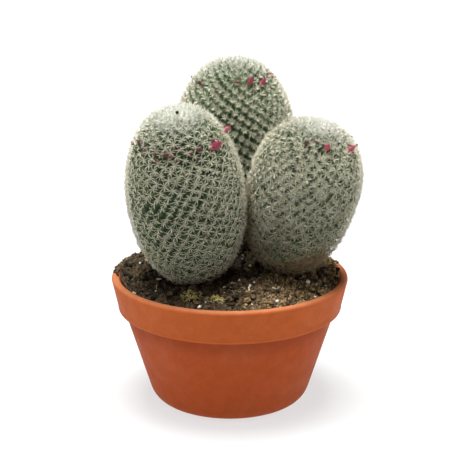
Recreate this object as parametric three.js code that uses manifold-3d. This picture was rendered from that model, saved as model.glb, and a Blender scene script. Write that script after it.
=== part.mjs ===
// A clump of three egg-shaped, densely spined cactus stems in a shallow terracotta pot.
// Millimetres, +Z up, origin at the centre of the pot's foot, -Y towards the viewer.

import * as THREE from 'three';
import { ConvexHull } from 'three/addons/math/ConvexHull.js';
import { mergeVertices } from 'three/addons/utils/BufferGeometryUtils.js';
import Module from 'manifold-3d';

// The pot: a round pan with a tapered wall, a rounded foot and a plain rim band
const POT = {
  sides: 40,
  height: 65,
  rimRadius: 59.4,
  bandFootRadius: 56.3,
  bandFootHeight: 47.8,
  wallTopRadius: 53.4,
  footRadius: 38.5,
  footRound: 7.6,
  lipRound: 1.8,
  lipWidth: 3.5,
  floor: 5,
  floorRadius: 34,
  drainRadius: 4,
  drainRing: 15,
  drainCount: 3,
};

// The potting mix: nearly level with the rim in front, higher at the back and round the stems
const SOIL = {
  gap: 0.35,
  spacing: 5.2,
  level: 63.6,
  backRise: 2.4,
  crown: 5.4,
  rightHeap: { at: [24.6, -9], height: 3.6, reach: 15 },
  crumbRise: 2,
  holeSides: 20,
  holeSteps: 10,
};

// Every stem is an egg whose halves are superellipses of this power
const EGG_POWER = 2.15;

// Each stem: where its widest level is, its size to the spine tips, its lean in degrees along X and Y,
// its root end, and each flower by its turn round the stem in degrees, its height and its kind
const STEMS = [
  {
    name: 'left',
    centre: [-21.2, -21.9, 111.4],
    radius: 29.2,
    top: 45.3,
    bottom: 46.3,
    lean: [-6.2, -8],
    rootEnd: -49.2,
    blooms: [[-40.6, 29.3, 'bud'], [12.4, 29.1, 'smallBud'], [-102.8, 30, 'spent'], [-61.8, 30.3, 'spent'],
      [-73.6, 29.2, 'spent'], [-149.9, 33.4, 'spent'], [68, 28.5, 'smallBud'], [131, 29, 'spent']],
  },
  {
    name: 'right',
    centre: [36.4, -11.8, 114.8],
    radius: 27.9,
    top: 32.9,
    bottom: 48.4,
    lean: [14.1, -5],
    rootEnd: -52.4,
    blooms: [[-80.2, 25.6, 'smallBud'], [-33.2, 25.5, 'smallBud'], [-110, 25.3, 'spent'], [47, 24.5, 'spent'],
      [122, 24.5, 'smallBud']],
  },
  {
    name: 'back',
    centre: [3.2, 42, 126.1],
    radius: 31.4,
    top: 41.9,
    bottom: 63.4,
    lean: [-3.4, 7],
    rootEnd: -66.4,
    blooms: [[-67.3, 29.3, 'smallBud'], [-49.8, 28.3, 'smallBud'], [-136.3, 29.6, 'spent'],
      [35, 28, 'smallBud'], [110, 28.5, 'spent']],
  },
];

// The tubercles: spacing on the stem's side and at its crown, depth of the furrows, and the spine pad
const TUBERCLE = {
  spacing: 8.8,
  crownShare: 0.55,
  crownReach: 30,
  depth: 2.7,
  padRadius: 0.6,
  lowest: -1,
};
const SPINE = {
  perPad: 3,
  length: 2.8,
  splay: 57,
  rise: 1.5,
  furthest: 0.4,
  clear: 0.5,
};
const ROOT_RADIUS = 7;
const GOLDEN_ANGLE = Math.PI * (3 - Math.sqrt(5));

// The kinds of flower: the outline as [radius, height] from foot to petal tips, and the height of the heart
const BLOOMS = {
  bud: { outline: [[1, 0], [1.6, 2.8], [1.8, 5.4], [1.2, 7.8]], tip: 6.8, colour: 0xb0175f },
  smallBud: { outline: [[0.8, 0], [1.25, 2.6], [1.4, 4.4], [0.9, 6]], tip: 5.2, colour: 0xa82458 },
  spent: { outline: [[0.7, 0], [1, 2.2], [1.1, 3.6], [0.7, 4.8]], tip: 4.1, colour: 0x7c2c3c },
};
const BLOOM = { petals: 5, sunk: 3.4, gap: 0.35, upTilt: 4, notch: 1.2 };

const FINISH = {
  pot: { color: 0xb4582e, roughness: 0.62, metalness: 0 },
  soil: { color: 0x35291f, roughness: 1, metalness: 0 },
  stem: { color: 0x8f9c84, roughness: 0.8, metalness: 0 },
};

const wasm = await Module();
wasm.setup();

// A repeatable stream of numbers from 0 to 1
function randomStream(seed) {
  let state = seed >>> 0;
  return () => {
    state = (Math.imul(state, 1664525) + 1013904223) >>> 0;
    return state / 4294967296;
  };
}

function smoothstep(low, high, x) {
  return THREE.MathUtils.smoothstep(x, low, high);
}

// A closed geometry as a solid that can be cut
function toSolid(geometry) {
  const bare = geometry.clone();
  bare.deleteAttribute('normal');
  bare.deleteAttribute('uv');
  const welded = mergeVertices(bare, 1e-5);
  return new wasm.Manifold(new wasm.Mesh({
    numProp: 3,
    vertProperties: new Float32Array(welded.attributes.position.array),
    triVerts: new Uint32Array(welded.index.array),
  }));
}

// The largest body of a solid as a geometry, so no loose scrap of a cut spine is kept
function toGeometry(solid) {
  const bodies = solid.decompose();
  bodies.sort((a, b) => b.volume() - a.volume());
  const mesh = bodies[0].getMesh();
  const geometry = new THREE.BufferGeometry();
  geometry.setAttribute('position', new THREE.BufferAttribute(mesh.vertProperties.slice(), 3));
  geometry.setIndex(new THREE.BufferAttribute(mesh.triVerts.slice(), 1));
  return geometry;
}

// A lathe turned about +Z from [radius, height] points, which start and end on the axis
function turned(points, sides) {
  const geometry = new THREE.LatheGeometry(points.map(([r, z]) => new THREE.Vector2(r, z)), sides);
  geometry.rotateX(Math.PI / 2);
  return geometry;
}

function potInnerRadius(z) {
  const top = POT.rimRadius - POT.lipWidth;
  const t = (z - POT.floor) / (POT.height - POT.floor);
  return POT.floorRadius + (top - POT.floorRadius) * t;
}

// The rounded foot: a curve from the flat base into the tapered wall
function footCurve(steps) {
  const wall = new THREE.Vector2(POT.wallTopRadius - POT.footRadius, POT.bandFootHeight).normalize();
  const corner = new THREE.Vector2(POT.footRadius, 0);
  const curve = new THREE.QuadraticBezierCurve(
    new THREE.Vector2(POT.footRadius - POT.footRound, 0),
    corner,
    corner.clone().addScaledVector(wall, POT.footRound),
  );
  return curve.getPoints(steps).map((p) => [p.x, p.y]);
}

function potOutline() {
  const { height, rimRadius, lipRound, lipWidth, bandFootRadius, bandFootHeight } = POT;
  const lip = rimRadius - lipRound;
  return [
    [0, 0],
    ...footCurve(4),
    [POT.wallTopRadius - 0.2, bandFootHeight - 1],
    [bandFootRadius - 0.7, bandFootHeight],
    [bandFootRadius, bandFootHeight + 0.8],
    [rimRadius, height - lipRound],
    [rimRadius - lipRound * 0.3, height - lipRound * 0.3],
    [lip, height],
    [rimRadius - lipWidth, height],
    [POT.floorRadius + 1, POT.floor + 2.4],
    [POT.floorRadius - 2, POT.floor],
    [0, POT.floor],
  ];
}

function potGeometry() {
  let solid = toSolid(turned(potOutline(), POT.sides));
  for (let i = 0; i < POT.drainCount; i += 1) {
    const turn = (i / POT.drainCount) * 2 * Math.PI + Math.PI / 2;
    const hole = new THREE.CylinderGeometry(POT.drainRadius, POT.drainRadius, POT.floor * 3, 16);
    hole.rotateX(Math.PI / 2);
    hole.translate(POT.drainRing * Math.cos(turn), POT.drainRing * Math.sin(turn), POT.floor / 2);
    solid = solid.subtract(toSolid(hole));
  }
  return toGeometry(solid);
}

// The egg of a stem: its radius at a height, how far out a point lies (1 on the surface), and the normal
function eggRadius(egg, z) {
  const half = z > 0 ? egg.top : egg.bottom;
  const share = Math.min(1, Math.abs(z) / half);
  return egg.radius * (1 - share ** EGG_POWER) ** (1 / EGG_POWER);
}

function eggReach(egg, p) {
  const half = p.z > 0 ? egg.top : egg.bottom;
  return (Math.hypot(p.x, p.y) / egg.radius) ** EGG_POWER + (Math.abs(p.z) / half) ** EGG_POWER;
}

function eggNormal(egg, p) {
  const half = p.z > 0 ? egg.top : egg.bottom;
  const r = Math.max(1e-9, Math.hypot(p.x, p.y));
  const side = (r / egg.radius) ** (EGG_POWER - 1) / egg.radius;
  const along = Math.sign(p.z) * (Math.abs(p.z) / half) ** (EGG_POWER - 1) / half;
  return new THREE.Vector3((p.x / r) * side, (p.y / r) * side, along).normalize();
}

function shrunk(egg, by) {
  return { radius: egg.radius - by, top: egg.top - by, bottom: egg.bottom - by };
}

// A stem's place: local +Z runs up the leaning stem, and local zero is its widest level
function stemPlace(stem) {
  const [leanX, leanY] = stem.lean.map((degrees) => Math.tan(THREE.MathUtils.degToRad(degrees)));
  const axis = new THREE.Vector3(leanX, leanY, 1).normalize();
  const turn = new THREE.Quaternion().setFromUnitVectors(new THREE.Vector3(0, 0, 1), axis);
  return new THREE.Matrix4().compose(new THREE.Vector3(...stem.centre), turn, new THREE.Vector3(1, 1, 1));
}

const PLACES = new Map(STEMS.map((stem) => [stem.name, stemPlace(stem)]));
const PLACES_BACK = new Map(STEMS.map((stem) => [stem.name, stemPlace(stem).invert()]));

// The surface without its crumbs
function soilBase(x, y) {
  const out = Math.hypot(x, y) / potInnerRadius(POT.height);
  const heap = SOIL.rightHeap;
  const away = Math.hypot(x - heap.at[0], y - heap.at[1]) / heap.reach;
  return SOIL.level + SOIL.backRise * smoothstep(-45, 12, y) + SOIL.crown * Math.max(0, 1 - out * out)
    + heap.height * Math.exp(-away * away);
}

// Flat points joined into triangles: the lower hull of the points lifted onto a bowl
function joinedFlat(points) {
  const lifted = points.map(([x, y]) => new THREE.Vector3(x, y, (x * x + y * y) / 100));
  const at = new Map(lifted.map((point, i) => [point, i]));
  const hull = new ConvexHull().setFromPoints(lifted);
  const faces = hull.faces.filter((face) => face.normal.z < -1e-6);
  return faces.map((face) => {
    const first = face.edge;
    return [first, first.next.next, first.next].map((edge) => at.get(edge.head().point));
  });
}

function soilPoints() {
  const edge = potInnerRadius(POT.height) - SOIL.gap;
  const inner = edge - SOIL.spacing * 0.6;
  const count = Math.round((Math.PI * inner * inner) / (SOIL.spacing ** 2 * 0.87));
  const points = [];
  for (let i = 0; i < POT.sides; i += 1) {
    const turn = (i / POT.sides) * 2 * Math.PI;
    points.push([edge * Math.sin(turn), edge * Math.cos(turn)]);
  }
  for (let i = 0; i < count; i += 1) {
    const out = inner * Math.sqrt((i + 0.5) / count);
    points.push([out * Math.cos(i * GOLDEN_ANGLE), out * Math.sin(i * GOLDEN_ANGLE)]);
  }
  return points;
}

// The mix as one closed body: relief on top, the pot's inner taper at the side, a flat foot on the floor
function soilBody() {
  const points = soilPoints();
  const top = joinedFlat(points);
  const random = randomStream(29);
  const positions = points.flatMap(([x, y]) => [x, y, soilBase(x, y) + SOIL.crumbRise * random() ** 2]);
  const index = top.flat();
  const rimStart = points.length;
  const levels = [POT.height - 1, POT.floor + 2.8, POT.floor + SOIL.gap];
  const radii = [potInnerRadius(levels[0]) - SOIL.gap, potInnerRadius(levels[1]) - SOIL.gap,
    POT.floorRadius - 3];
  levels.forEach((z, ring) => {
    for (let i = 0; i < POT.sides; i += 1) {
      const turn = (i / POT.sides) * 2 * Math.PI;
      positions.push(radii[ring] * Math.sin(turn), radii[ring] * Math.cos(turn), z);
    }
  });
  positions.push(0, 0, POT.floor + SOIL.gap);
  const starts = [0, rimStart, rimStart + POT.sides, rimStart + 2 * POT.sides];
  const foot = rimStart + 3 * POT.sides;
  for (let i = 0; i < POT.sides; i += 1) {
    const j = (i + 1) % POT.sides;
    for (let ring = 0; ring < 3; ring += 1) {
      const [upper, lower] = [starts[ring], starts[ring + 1]];
      index.push(upper + i, upper + j, lower + j, upper + i, lower + j, lower + i);
    }
    index.push(starts[3] + i, starts[3] + j, foot);
  }
  const geometry = new THREE.BufferGeometry();
  geometry.setAttribute('position', new THREE.Float32BufferAttribute(positions, 3));
  geometry.setIndex(index);
  return geometry;
}

// The plain hole that a stem stands in: the stem's own outline, grown by the gap
function stemHole(stem) {
  const grown = shrunk(stem, SPINE.rise - SOIL.gap);
  const end = stem.rootEnd - SOIL.gap;
  const points = [[0, end], [ROOT_RADIUS + SOIL.gap, end]];
  for (let i = 1; i <= SOIL.holeSteps; i += 1) {
    const z = -grown.bottom * (1 - (0.6 * i) / SOIL.holeSteps);
    points.push([eggRadius(grown, z) / Math.cos(Math.PI / SOIL.holeSides), z]);
  }
  const outline = lowerOutline(points);
  const last = outline[outline.length - 1];
  return turned([...outline, [0, last[1]]], SOIL.holeSides).applyMatrix4(PLACES.get(stem.name));
}

// Keeps the points of an outline that make it bulge, so that its root end and egg join without a waist
function lowerOutline(points) {
  const kept = [];
  for (const point of points) {
    while (kept.length > 1) {
      const [ax, ay] = kept[kept.length - 2];
      const [bx, by] = kept[kept.length - 1];
      if ((bx - ax) * (point[1] - ay) - (by - ay) * (point[0] - ax) > 0) {
        break;
      }
      kept.pop();
    }
    kept.push(point);
  }
  return kept;
}

function soilGeometry() {
  let solid = toSolid(soilBody());
  for (const stem of STEMS) {
    solid = solid.subtract(toSolid(stemHole(stem)));
  }
  return toGeometry(solid);
}

// The places of the tubercles: a spiral of golden turns from the crown down, tighter at the crown
function tubercleLattice(egg, lowest) {
  const steps = 600;
  const rows = [];
  let filled = 0;
  let arc = 0;
  let last = [0, egg.top];
  for (let i = 1; i <= steps; i += 1) {
    const z = i < steps / 2
      ? egg.top * Math.cos((Math.PI * i) / steps) ** (2 / EGG_POWER)
      : (lowest * (i - steps / 2)) / (steps / 2);
    const r = eggRadius(egg, z);
    const length = Math.hypot(r - last[0], z - last[1]);
    const spacing = spacingAt(arc + length / 2);
    filled += (Math.PI * (r + last[0]) * length) / (spacing * spacing * 0.87);
    arc += length;
    rows.push({ z, r, filled, arc });
    last = [r, z];
  }
  const count = Math.round(filled);
  const places = [];
  let row = 0;
  for (let k = 0; k < count; k += 1) {
    while (rows[row].filled < ((k + 0.5) / count) * filled) {
      row += 1;
    }
    const { z, r, arc: fromCrown } = rows[row];
    const turn = k * GOLDEN_ANGLE;
    const point = new THREE.Vector3(r * Math.cos(turn), r * Math.sin(turn), z);
    places.push({ point, spacing: spacingAt(fromCrown), pad: true, turn });
  }
  return places;
}

function spacingAt(arc) {
  const share = smoothstep(0, TUBERCLE.crownReach, arc);
  return TUBERCLE.spacing * THREE.MathUtils.lerp(TUBERCLE.crownShare, 1, share);
}

function aboveSoil(stem, point) {
  const world = point.clone().applyMatrix4(PLACES.get(stem.name));
  return world.z - soilBase(world.x, world.y);
}

// Plain points: a ring where the stem meets the mix, and the flat root end
function plainRings(stem, egg) {
  const points = [];
  for (let i = 0; i < 18; i += 1) {
    const turn = (i / 18) * 2 * Math.PI;
    let [low, high] = [-egg.bottom, 0];
    let point = null;
    for (let n = 0; n < 24; n += 1) {
      const z = (low + high) / 2;
      const r = eggRadius(egg, z);
      point = new THREE.Vector3(r * Math.cos(turn), r * Math.sin(turn), z);
      if (aboveSoil(stem, point) > TUBERCLE.lowest - 2) {
        high = z;
      } else {
        low = z;
      }
    }
    points.push(point);
  }
  for (let i = 0; i < 10; i += 1) {
    const turn = (i / 10) * 2 * Math.PI;
    points.push(new THREE.Vector3(ROOT_RADIUS * Math.cos(turn), ROOT_RADIUS * Math.sin(turn), stem.rootEnd));
  }
  points.push(new THREE.Vector3(0, 0, stem.rootEnd));
  return points.map((point) => ({ point, pad: false, spacing: TUBERCLE.spacing }));
}

// The closed net over all points: for each point, the faces round it in turn
function netOver(places) {
  const at = new Map(places.map((place, i) => [place.point, i]));
  const hull = new ConvexHull().setFromPoints(places.map((place) => place.point));
  const faces = hull.faces.map((face) => {
    const first = face.edge;
    return [first, first.next, first.next.next].map((edge) => at.get(edge.head().point));
  });
  const fans = places.map(() => new Map());
  faces.forEach(([a, b, c], face) => {
    fans[a].set(b, { next: c, face });
    fans[b].set(c, { next: a, face });
    fans[c].set(a, { next: b, face });
  });
  return { faces, fans };
}

function fanOf(fans, i) {
  const fan = fans[i];
  const order = [];
  if (fan.size === 0) {
    return order;
  }
  const start = fan.keys().next().value;
  let key = start;
  do {
    const { next, face } = fan.get(key);
    order.push(face);
    key = next;
  } while (key !== start);
  return order;
}

// True where a spine tip stays on its own stem's side, off the mix and off every flower
function spineIsClear(stem, egg, tip, flowers) {
  const world = tip.clone().applyMatrix4(PLACES.get(stem.name));
  if (world.z < soilBase(world.x, world.y) + SOIL.crumbRise + SPINE.clear) {
    return false;
  }
  const own = eggReach(egg, tip);
  for (const other of STEMS) {
    if (other !== stem) {
      const there = world.clone().applyMatrix4(PLACES_BACK.get(other.name));
      if (eggReach(shrunk(other, SPINE.rise), there) < own + 0.035) {
        return false;
      }
    }
  }
  return flowers.every((flower) => offFlower(flower, tip, SPINE.clear));
}

function offFlower(flower, point, clear) {
  const local = point.clone().sub(flower.base).applyQuaternion(flower.turn.clone().invert());
  const widest = Math.max(...flower.form.outline.map(([r]) => r));
  const length = flower.form.outline[flower.form.outline.length - 1][1];
  return local.z < -clear || local.z > length + clear || Math.hypot(local.x, local.y) > widest + clear;
}

// A spine tip from the middle of its pad, laid lower until it is clear, or null where it never is
function spineTip(stem, egg, place, normal, outward, flowers) {
  const reach = Math.min(SPINE.length * Math.sin(THREE.MathUtils.degToRad(SPINE.splay)),
    SPINE.furthest * place.spacing);
  for (const lower of [1, 0.6, 0.25]) {
    const rise = Math.sqrt(SPINE.length ** 2 - reach ** 2) * lower;
    const tip = place.point.clone().addScaledVector(normal, rise).addScaledVector(outward, reach);
    const middle = tip.clone().lerp(place.point, 0.5);
    if (spineIsClear(stem, egg, tip, flowers) && flowers.every((f) => offFlower(f, middle, SPINE.clear))) {
      return tip;
    }
  }
  return null;
}

// Joins an outer loop of points to an inner one, both counter-clockwise round the same normal
function stitch(index, outer, inner, angleOf) {
  const first = angleOf(outer[0]);
  const sweep = (i) => (angleOf(i) - first + 4 * Math.PI) % (2 * Math.PI);
  let start = 0;
  inner.forEach((i, n) => {
    if (sweep(i) < sweep(inner[start])) {
      start = n;
    }
  });
  const ring = inner.map((_, n) => inner[(start + n) % inner.length]);
  const outerSweep = [...outer.map(sweep), 2 * Math.PI];
  const innerSweep = [...ring.map(sweep), sweep(ring[0]) + 2 * Math.PI];
  let [a, b] = [0, 0];
  while (a < outer.length || b < ring.length) {
    const here = outer[a % outer.length];
    const there = ring[b % ring.length];
    const stepOut = b === ring.length || (a < outer.length && outerSweep[a + 1] <= innerSweep[b + 1]);
    if (stepOut) {
      a += 1;
      index.push(here, outer[a % outer.length], there);
    } else {
      b += 1;
      index.push(here, ring[b % ring.length], there);
    }
  }
}

// The stem's skin: a pointed tubercle on every pad place, furrows between them, three spines on each pad
function stemSkin(stem, flowers) {
  const egg = shrunk(stem, SPINE.rise);
  const lattice = tubercleLattice(egg, -egg.bottom * 0.97);
  const places = [...lattice.filter(({ point }) => aboveSoil(stem, point) > TUBERCLE.lowest),
    ...plainRings(stem, egg)];
  const { faces, fans } = netOver(places);
  const positions = [];
  const index = [];
  const add = (p) => positions.push(p.clone()) - 1;
  const furrows = faces.map((face) => {
    const corners = face.map((i) => places[i]);
    const middle = new THREE.Vector3();
    corners.forEach(({ point }) => middle.addScaledVector(point, 1 / 3));
    const pads = corners.filter(({ pad }) => pad).length / 3;
    const share = corners.reduce((sum, { spacing }) => sum + spacing / 3, 0) / TUBERCLE.spacing;
    const normal = eggNormal(egg, middle);
    return add(middle.addScaledVector(normal, -TUBERCLE.depth * share * pads));
  });
  places.forEach((place, i) => {
    const loop = fanOf(fans, i).map((face) => furrows[face]);
    if (loop.length === 0) {
      return;
    }
    if (!place.pad) {
      const at = add(place.point);
      loop.forEach((here, n) => index.push(at, here, loop[(n + 1) % loop.length]));
      return;
    }
    addTubercle({ stem, egg, place, loop, positions, index, add, flowers });
  });
  const geometry = new THREE.BufferGeometry();
  geometry.setAttribute('position', new THREE.Float32BufferAttribute(positions.flatMap((p) => [...p]), 3));
  geometry.setIndex(index);
  return geometry;
}

function addTubercle({ stem, egg, place, loop, positions, index, add, flowers }) {
  const normal = eggNormal(egg, place.point);
  const across = new THREE.Vector3(-Math.sin(place.turn), Math.cos(place.turn), 0);
  const up = new THREE.Vector3().crossVectors(normal, across);
  const around = (angle) => across.clone().applyAxisAngle(normal, angle);
  const angleOf = (i) => {
    const away = positions[i].clone().sub(place.point);
    return Math.atan2(away.dot(up), away.dot(across));
  };
  const step = (2 * Math.PI) / SPINE.perPad;
  const twist = place.turn * 3.1;
  const ring = [];
  for (let n = 0; n < SPINE.perPad; n += 1) {
    const out = around(twist + n * step);
    ring.push(add(place.point.clone().addScaledVector(out, TUBERCLE.padRadius)));
  }
  const middle = add(place.point.clone().addScaledVector(normal, 0.15));
  stitch(index, loop, ring, angleOf);
  ring.forEach((here, n) => {
    const next = ring[(n + 1) % ring.length];
    const tip = spineTip(stem, egg, place, normal, around(twist + (n + 0.5) * step), flowers);
    if (tip === null) {
      index.push(middle, here, next);
      return;
    }
    const point = add(tip);
    index.push(middle, here, point, here, next, point, next, middle, point);
  });
}

// Where a flower stands: in the furrows of the ring under the crown, tilted up from the stem's skin
function flowerPlace(stem, [degrees, height, kind]) {
  const turn = THREE.MathUtils.degToRad(degrees);
  const r = eggRadius(stem, height);
  const point = new THREE.Vector3(r * Math.cos(turn), r * Math.sin(turn), height);
  const normal = eggNormal(stem, point);
  const across = new THREE.Vector3(-Math.sin(turn), Math.cos(turn), 0);
  const axis = normal.clone().applyAxisAngle(across, -THREE.MathUtils.degToRad(BLOOM.upTilt));
  const base = point.clone().addScaledVector(normal, -BLOOM.sunk);
  const upright = new THREE.Quaternion().setFromUnitVectors(new THREE.Vector3(0, 0, 1), axis);
  return { base, turn: upright, form: BLOOMS[kind] };
}

// A flower: two layers of pointed petals round a short cup, each layer's tips over the other's notches
function bloomGeometry(form) {
  const corners = BLOOM.petals * 2;
  const [foot, waist, belly, crown] = form.outline;
  const rings = [
    () => foot,
    () => waist,
    (even) => (even ? belly : [waist[0] * 1.06, belly[1] - BLOOM.notch]),
    (even) => (even ? [belly[0] * 0.72, belly[1] - 0.5] : crown),
  ];
  const positions = [[0, 0, 0]];
  rings.forEach((shape) => {
    for (let i = 0; i < corners; i += 1) {
      const [r, z] = shape(i % 2 === 0);
      const turn = (i / corners) * 2 * Math.PI;
      positions.push([r * Math.cos(turn), r * Math.sin(turn), z]);
    }
  });
  positions.push([0, 0, form.tip]);
  const index = [];
  for (let i = 0; i < corners; i += 1) {
    const j = (i + 1) % corners;
    index.push(0, 1 + j, 1 + i);
    for (let ring = 0; ring < rings.length - 1; ring += 1) {
      const [low, high] = [1 + ring * corners, 1 + (ring + 1) * corners];
      index.push(low + i, low + j, high + j, low + i, high + j, high + i);
    }
    const last = 1 + (rings.length - 1) * corners;
    index.push(last + i, last + j, positions.length - 1);
  }
  const geometry = new THREE.BufferGeometry();
  geometry.setAttribute('position', new THREE.Float32BufferAttribute(positions.flat(), 3));
  geometry.setIndex(index);
  return geometry;
}

// The socket round a flower's foot, grown by the gap
function bloomSocket({ base, turn, form }) {
  const grown = form.outline.map(([r, z]) => [r + BLOOM.gap, z]);
  const [top] = form.outline.slice(-1);
  const points = [[0, -BLOOM.gap], [grown[0][0], -BLOOM.gap], ...grown.slice(1), [0, top[1] + 3]];
  return turned(points, 10).applyQuaternion(turn).translate(base.x, base.y, base.z);
}

function stemGeometry(stem, flowers) {
  let solid = toSolid(stemSkin(stem, flowers));
  for (const flower of flowers) {
    solid = solid.subtract(toSolid(bloomSocket(flower)));
  }
  return toGeometry(solid);
}

function namedMesh(name, geometry, finish) {
  const flat = geometry.index ? geometry.toNonIndexed() : geometry;
  flat.computeVertexNormals();
  const mesh = new THREE.Mesh(flat, new THREE.MeshStandardMaterial({ ...finish, flatShading: true }));
  mesh.name = name;
  return mesh;
}

// One stem with its flowers, as a group that leans as a whole
function stemGroup(stem) {
  const group = new THREE.Group();
  PLACES.get(stem.name).decompose(group.position, group.quaternion, group.scale);
  const flowers = stem.blooms.map((bloom) => flowerPlace(stem, bloom));
  group.add(namedMesh(`stem_${stem.name}`, stemGeometry(stem, flowers), FINISH.stem));
  flowers.forEach((flower, i) => {
    const finish = { color: flower.form.colour, roughness: 0.7, metalness: 0 };
    const mesh = namedMesh(`bloom_${stem.name}_${i + 1}`, bloomGeometry(flower.form), finish);
    mesh.position.copy(flower.base);
    mesh.quaternion.copy(flower.turn);
    group.add(mesh);
  });
  return group;
}

const plant = new THREE.Group();
plant.add(namedMesh('pot', potGeometry(), FINISH.pot));
plant.add(namedMesh('soil', soilGeometry(), FINISH.soil));
for (const stem of STEMS) {
  plant.add(stemGroup(stem));
}

export default plant;
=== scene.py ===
"""Looks of a clump of three white-spined cactus stems in a terracotta pot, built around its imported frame.

Lengths are in millimetres, in the frame's own axes, and become metres when a mesh is made. Fields that hold
an angle have it in degrees. Inside a method angles are in radians.
"""
from __future__ import annotations

import functools
import logging
import math
from dataclasses import dataclass, field
from enum import Enum
from typing import Any, ClassVar

import bpy
import numpy as np
from mathutils import Matrix, Vector, kdtree, noise

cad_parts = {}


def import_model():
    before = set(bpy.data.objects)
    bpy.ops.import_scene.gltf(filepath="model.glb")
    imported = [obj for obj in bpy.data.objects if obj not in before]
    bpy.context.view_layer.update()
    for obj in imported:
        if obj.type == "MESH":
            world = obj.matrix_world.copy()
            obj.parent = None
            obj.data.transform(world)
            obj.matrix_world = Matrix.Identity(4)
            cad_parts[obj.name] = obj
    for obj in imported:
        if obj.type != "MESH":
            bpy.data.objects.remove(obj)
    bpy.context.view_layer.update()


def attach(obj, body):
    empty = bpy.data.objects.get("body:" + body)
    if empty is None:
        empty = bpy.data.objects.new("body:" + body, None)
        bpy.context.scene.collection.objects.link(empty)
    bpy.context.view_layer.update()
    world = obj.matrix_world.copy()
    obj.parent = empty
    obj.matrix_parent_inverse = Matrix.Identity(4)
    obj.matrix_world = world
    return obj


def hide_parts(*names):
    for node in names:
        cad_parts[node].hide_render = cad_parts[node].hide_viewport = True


LOG = logging.getLogger("potted_cactus")
MM = 0.001
GOLDEN_ANGLE = math.pi * (3 - math.sqrt(5))
BODY = "root"

# How many points the side of an egg has where places along it are looked up.
FINE_STEPS = 1500

Array = np.ndarray
Random = np.random.Generator
Material = bpy.types.Material
Piece = bpy.types.Object
Socket = bpy.types.NodeSocket
Colour = tuple[float, float, float, float]


def srgb(red: float, green: float, blue: float) -> Colour:
    """Turns a display colour into a linear one.

    Args:
        red: Red, 0 to 255.
        green: Green, 0 to 255.
        blue: Blue, 0 to 255.

    Returns:
        The linear colour with full alpha.
    """
    def linear(value: float) -> float:
        """Undoes the display curve of one channel."""
        share = value / 255
        return share / 12.92 if share <= 0.04045 else ((share + 0.055) / 1.055) ** 2.4

    return (linear(red), linear(green), linear(blue), 1.0)


def smoothstep(low: float, high: float, x: Array | float) -> Array:
    """Rises smoothly from 0 at low to 1 at high, or falls where high is the smaller one."""
    share = np.clip((np.asarray(x, float) - low) / (high - low), 0, 1)
    return share * share * (3 - 2 * share)


def bell(x: Array | float, middle: float, reach: float) -> Array | float:
    """Returns how near to a middle each value lies: 1 there, about a third at the reach, then nothing."""
    return np.exp(-(((x - middle) / reach) ** 2))


def unit(vectors: Array) -> Array:
    """Scales each row to length 1."""
    return vectors / np.maximum(np.linalg.norm(vectors, axis=-1, keepdims=True), 1e-12)


def turns(count: int) -> Array:
    """Returns that many even turns round a circle, in radians."""
    return np.arange(count) * 2 * math.pi / count


def polar(radius: Array | float, turn: Array | float, height: Array | float) -> Array:
    """Returns the points at a radius, a turn round Z and a height."""
    return np.stack([radius * np.cos(turn), radius * np.sin(turn), height + 0 * turn], -1)


def revolve(radius: Array, height: Array, sides: int) -> Array:
    """Turns an outline round Z and returns the points, level by level, with so many points on each level."""
    return polar(radius[:, None], turns(sides), height[:, None]).reshape(-1, 3)


def closed_net(levels: int, sides: int) -> Array:
    """Joins levels of points that run down the outside of a round form, with a pole at each end.

    Args:
        levels: How many levels there are.
        sides: How many points each level has.

    Returns:
        The triangles. The first level's pole follows the levels, and the last level's pole follows that.
    """
    here = np.arange(sides)
    following = (here + 1) % sides
    level = np.arange(levels - 1)[:, None] * sides
    a, b = level + here, level + following
    c, d = a + sides, b + sides
    walls = np.stack([a, c, b, b, c, d], -1).reshape(-1, 3)
    pole = np.full(sides, levels * sides)
    last = (levels - 1) * sides
    cap = np.stack([pole, here, following], 1)
    base = np.stack([pole + 1, last + following, last + here], 1)
    return np.concatenate([walls, cap, base])


class Facets:
    """Triangles gathered for one piece, with a few named numbers at each point."""

    def __init__(self) -> None:
        """Starts with no triangle."""
        self.points: list[Array] = []
        self.faces: list[Array] = []
        self.marks: dict[str, list[Array]] = {}
        self.size = 0

    def add(self, points: Array, faces: Array, **marks: Array | float) -> None:
        """Adds a group of triangles.

        Args:
            points: Corner points in millimetres, one row each.
            faces: Rows of three indices into points.
            **marks: A number for all points, or one number for each.
        """
        self.points.append(np.asarray(points, float))
        self.faces.append(np.asarray(faces, np.int64) + self.size)
        for name, value in marks.items():
            self.marks.setdefault(name, []).append(np.broadcast_to(np.asarray(value, float), len(points)))
        self.size += len(points)

    def build(self, name: str, material: Material, smooth: bool = True) -> Piece:
        """Makes the piece and lets it ride on the part.

        Args:
            name: The piece's name.
            material: Its finish.
            smooth: Whether its faces are shaded as one smooth surface.

        Returns:
            The new object.
        """
        points = np.concatenate(self.points) * MM
        faces = np.concatenate(self.faces)
        mesh = bpy.data.meshes.new(name)
        mesh.vertices.add(len(points))
        mesh.vertices.foreach_set("co", points.astype(np.float32).ravel())
        mesh.loops.add(faces.size)
        mesh.loops.foreach_set("vertex_index", faces.astype(np.int32).ravel())
        mesh.polygons.add(len(faces))
        mesh.polygons.foreach_set("loop_start", np.arange(0, faces.size, 3, dtype=np.int32))
        mesh.update(calc_edges=True)
        mesh.validate()
        if smooth:
            mesh.shade_smooth()
        else:
            mesh.shade_flat()
        for mark, values in self.marks.items():
            layer = mesh.attributes.new(mark, "FLOAT", "POINT")
            layer.data.foreach_set("value", np.concatenate(values).astype(np.float32))
        mesh.materials.append(material)
        piece = bpy.data.objects.new(name, mesh)
        bpy.context.scene.collection.objects.link(piece)
        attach(piece, BODY)
        LOG.info("%s: %d triangles", name, len(faces))
        return piece


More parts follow.
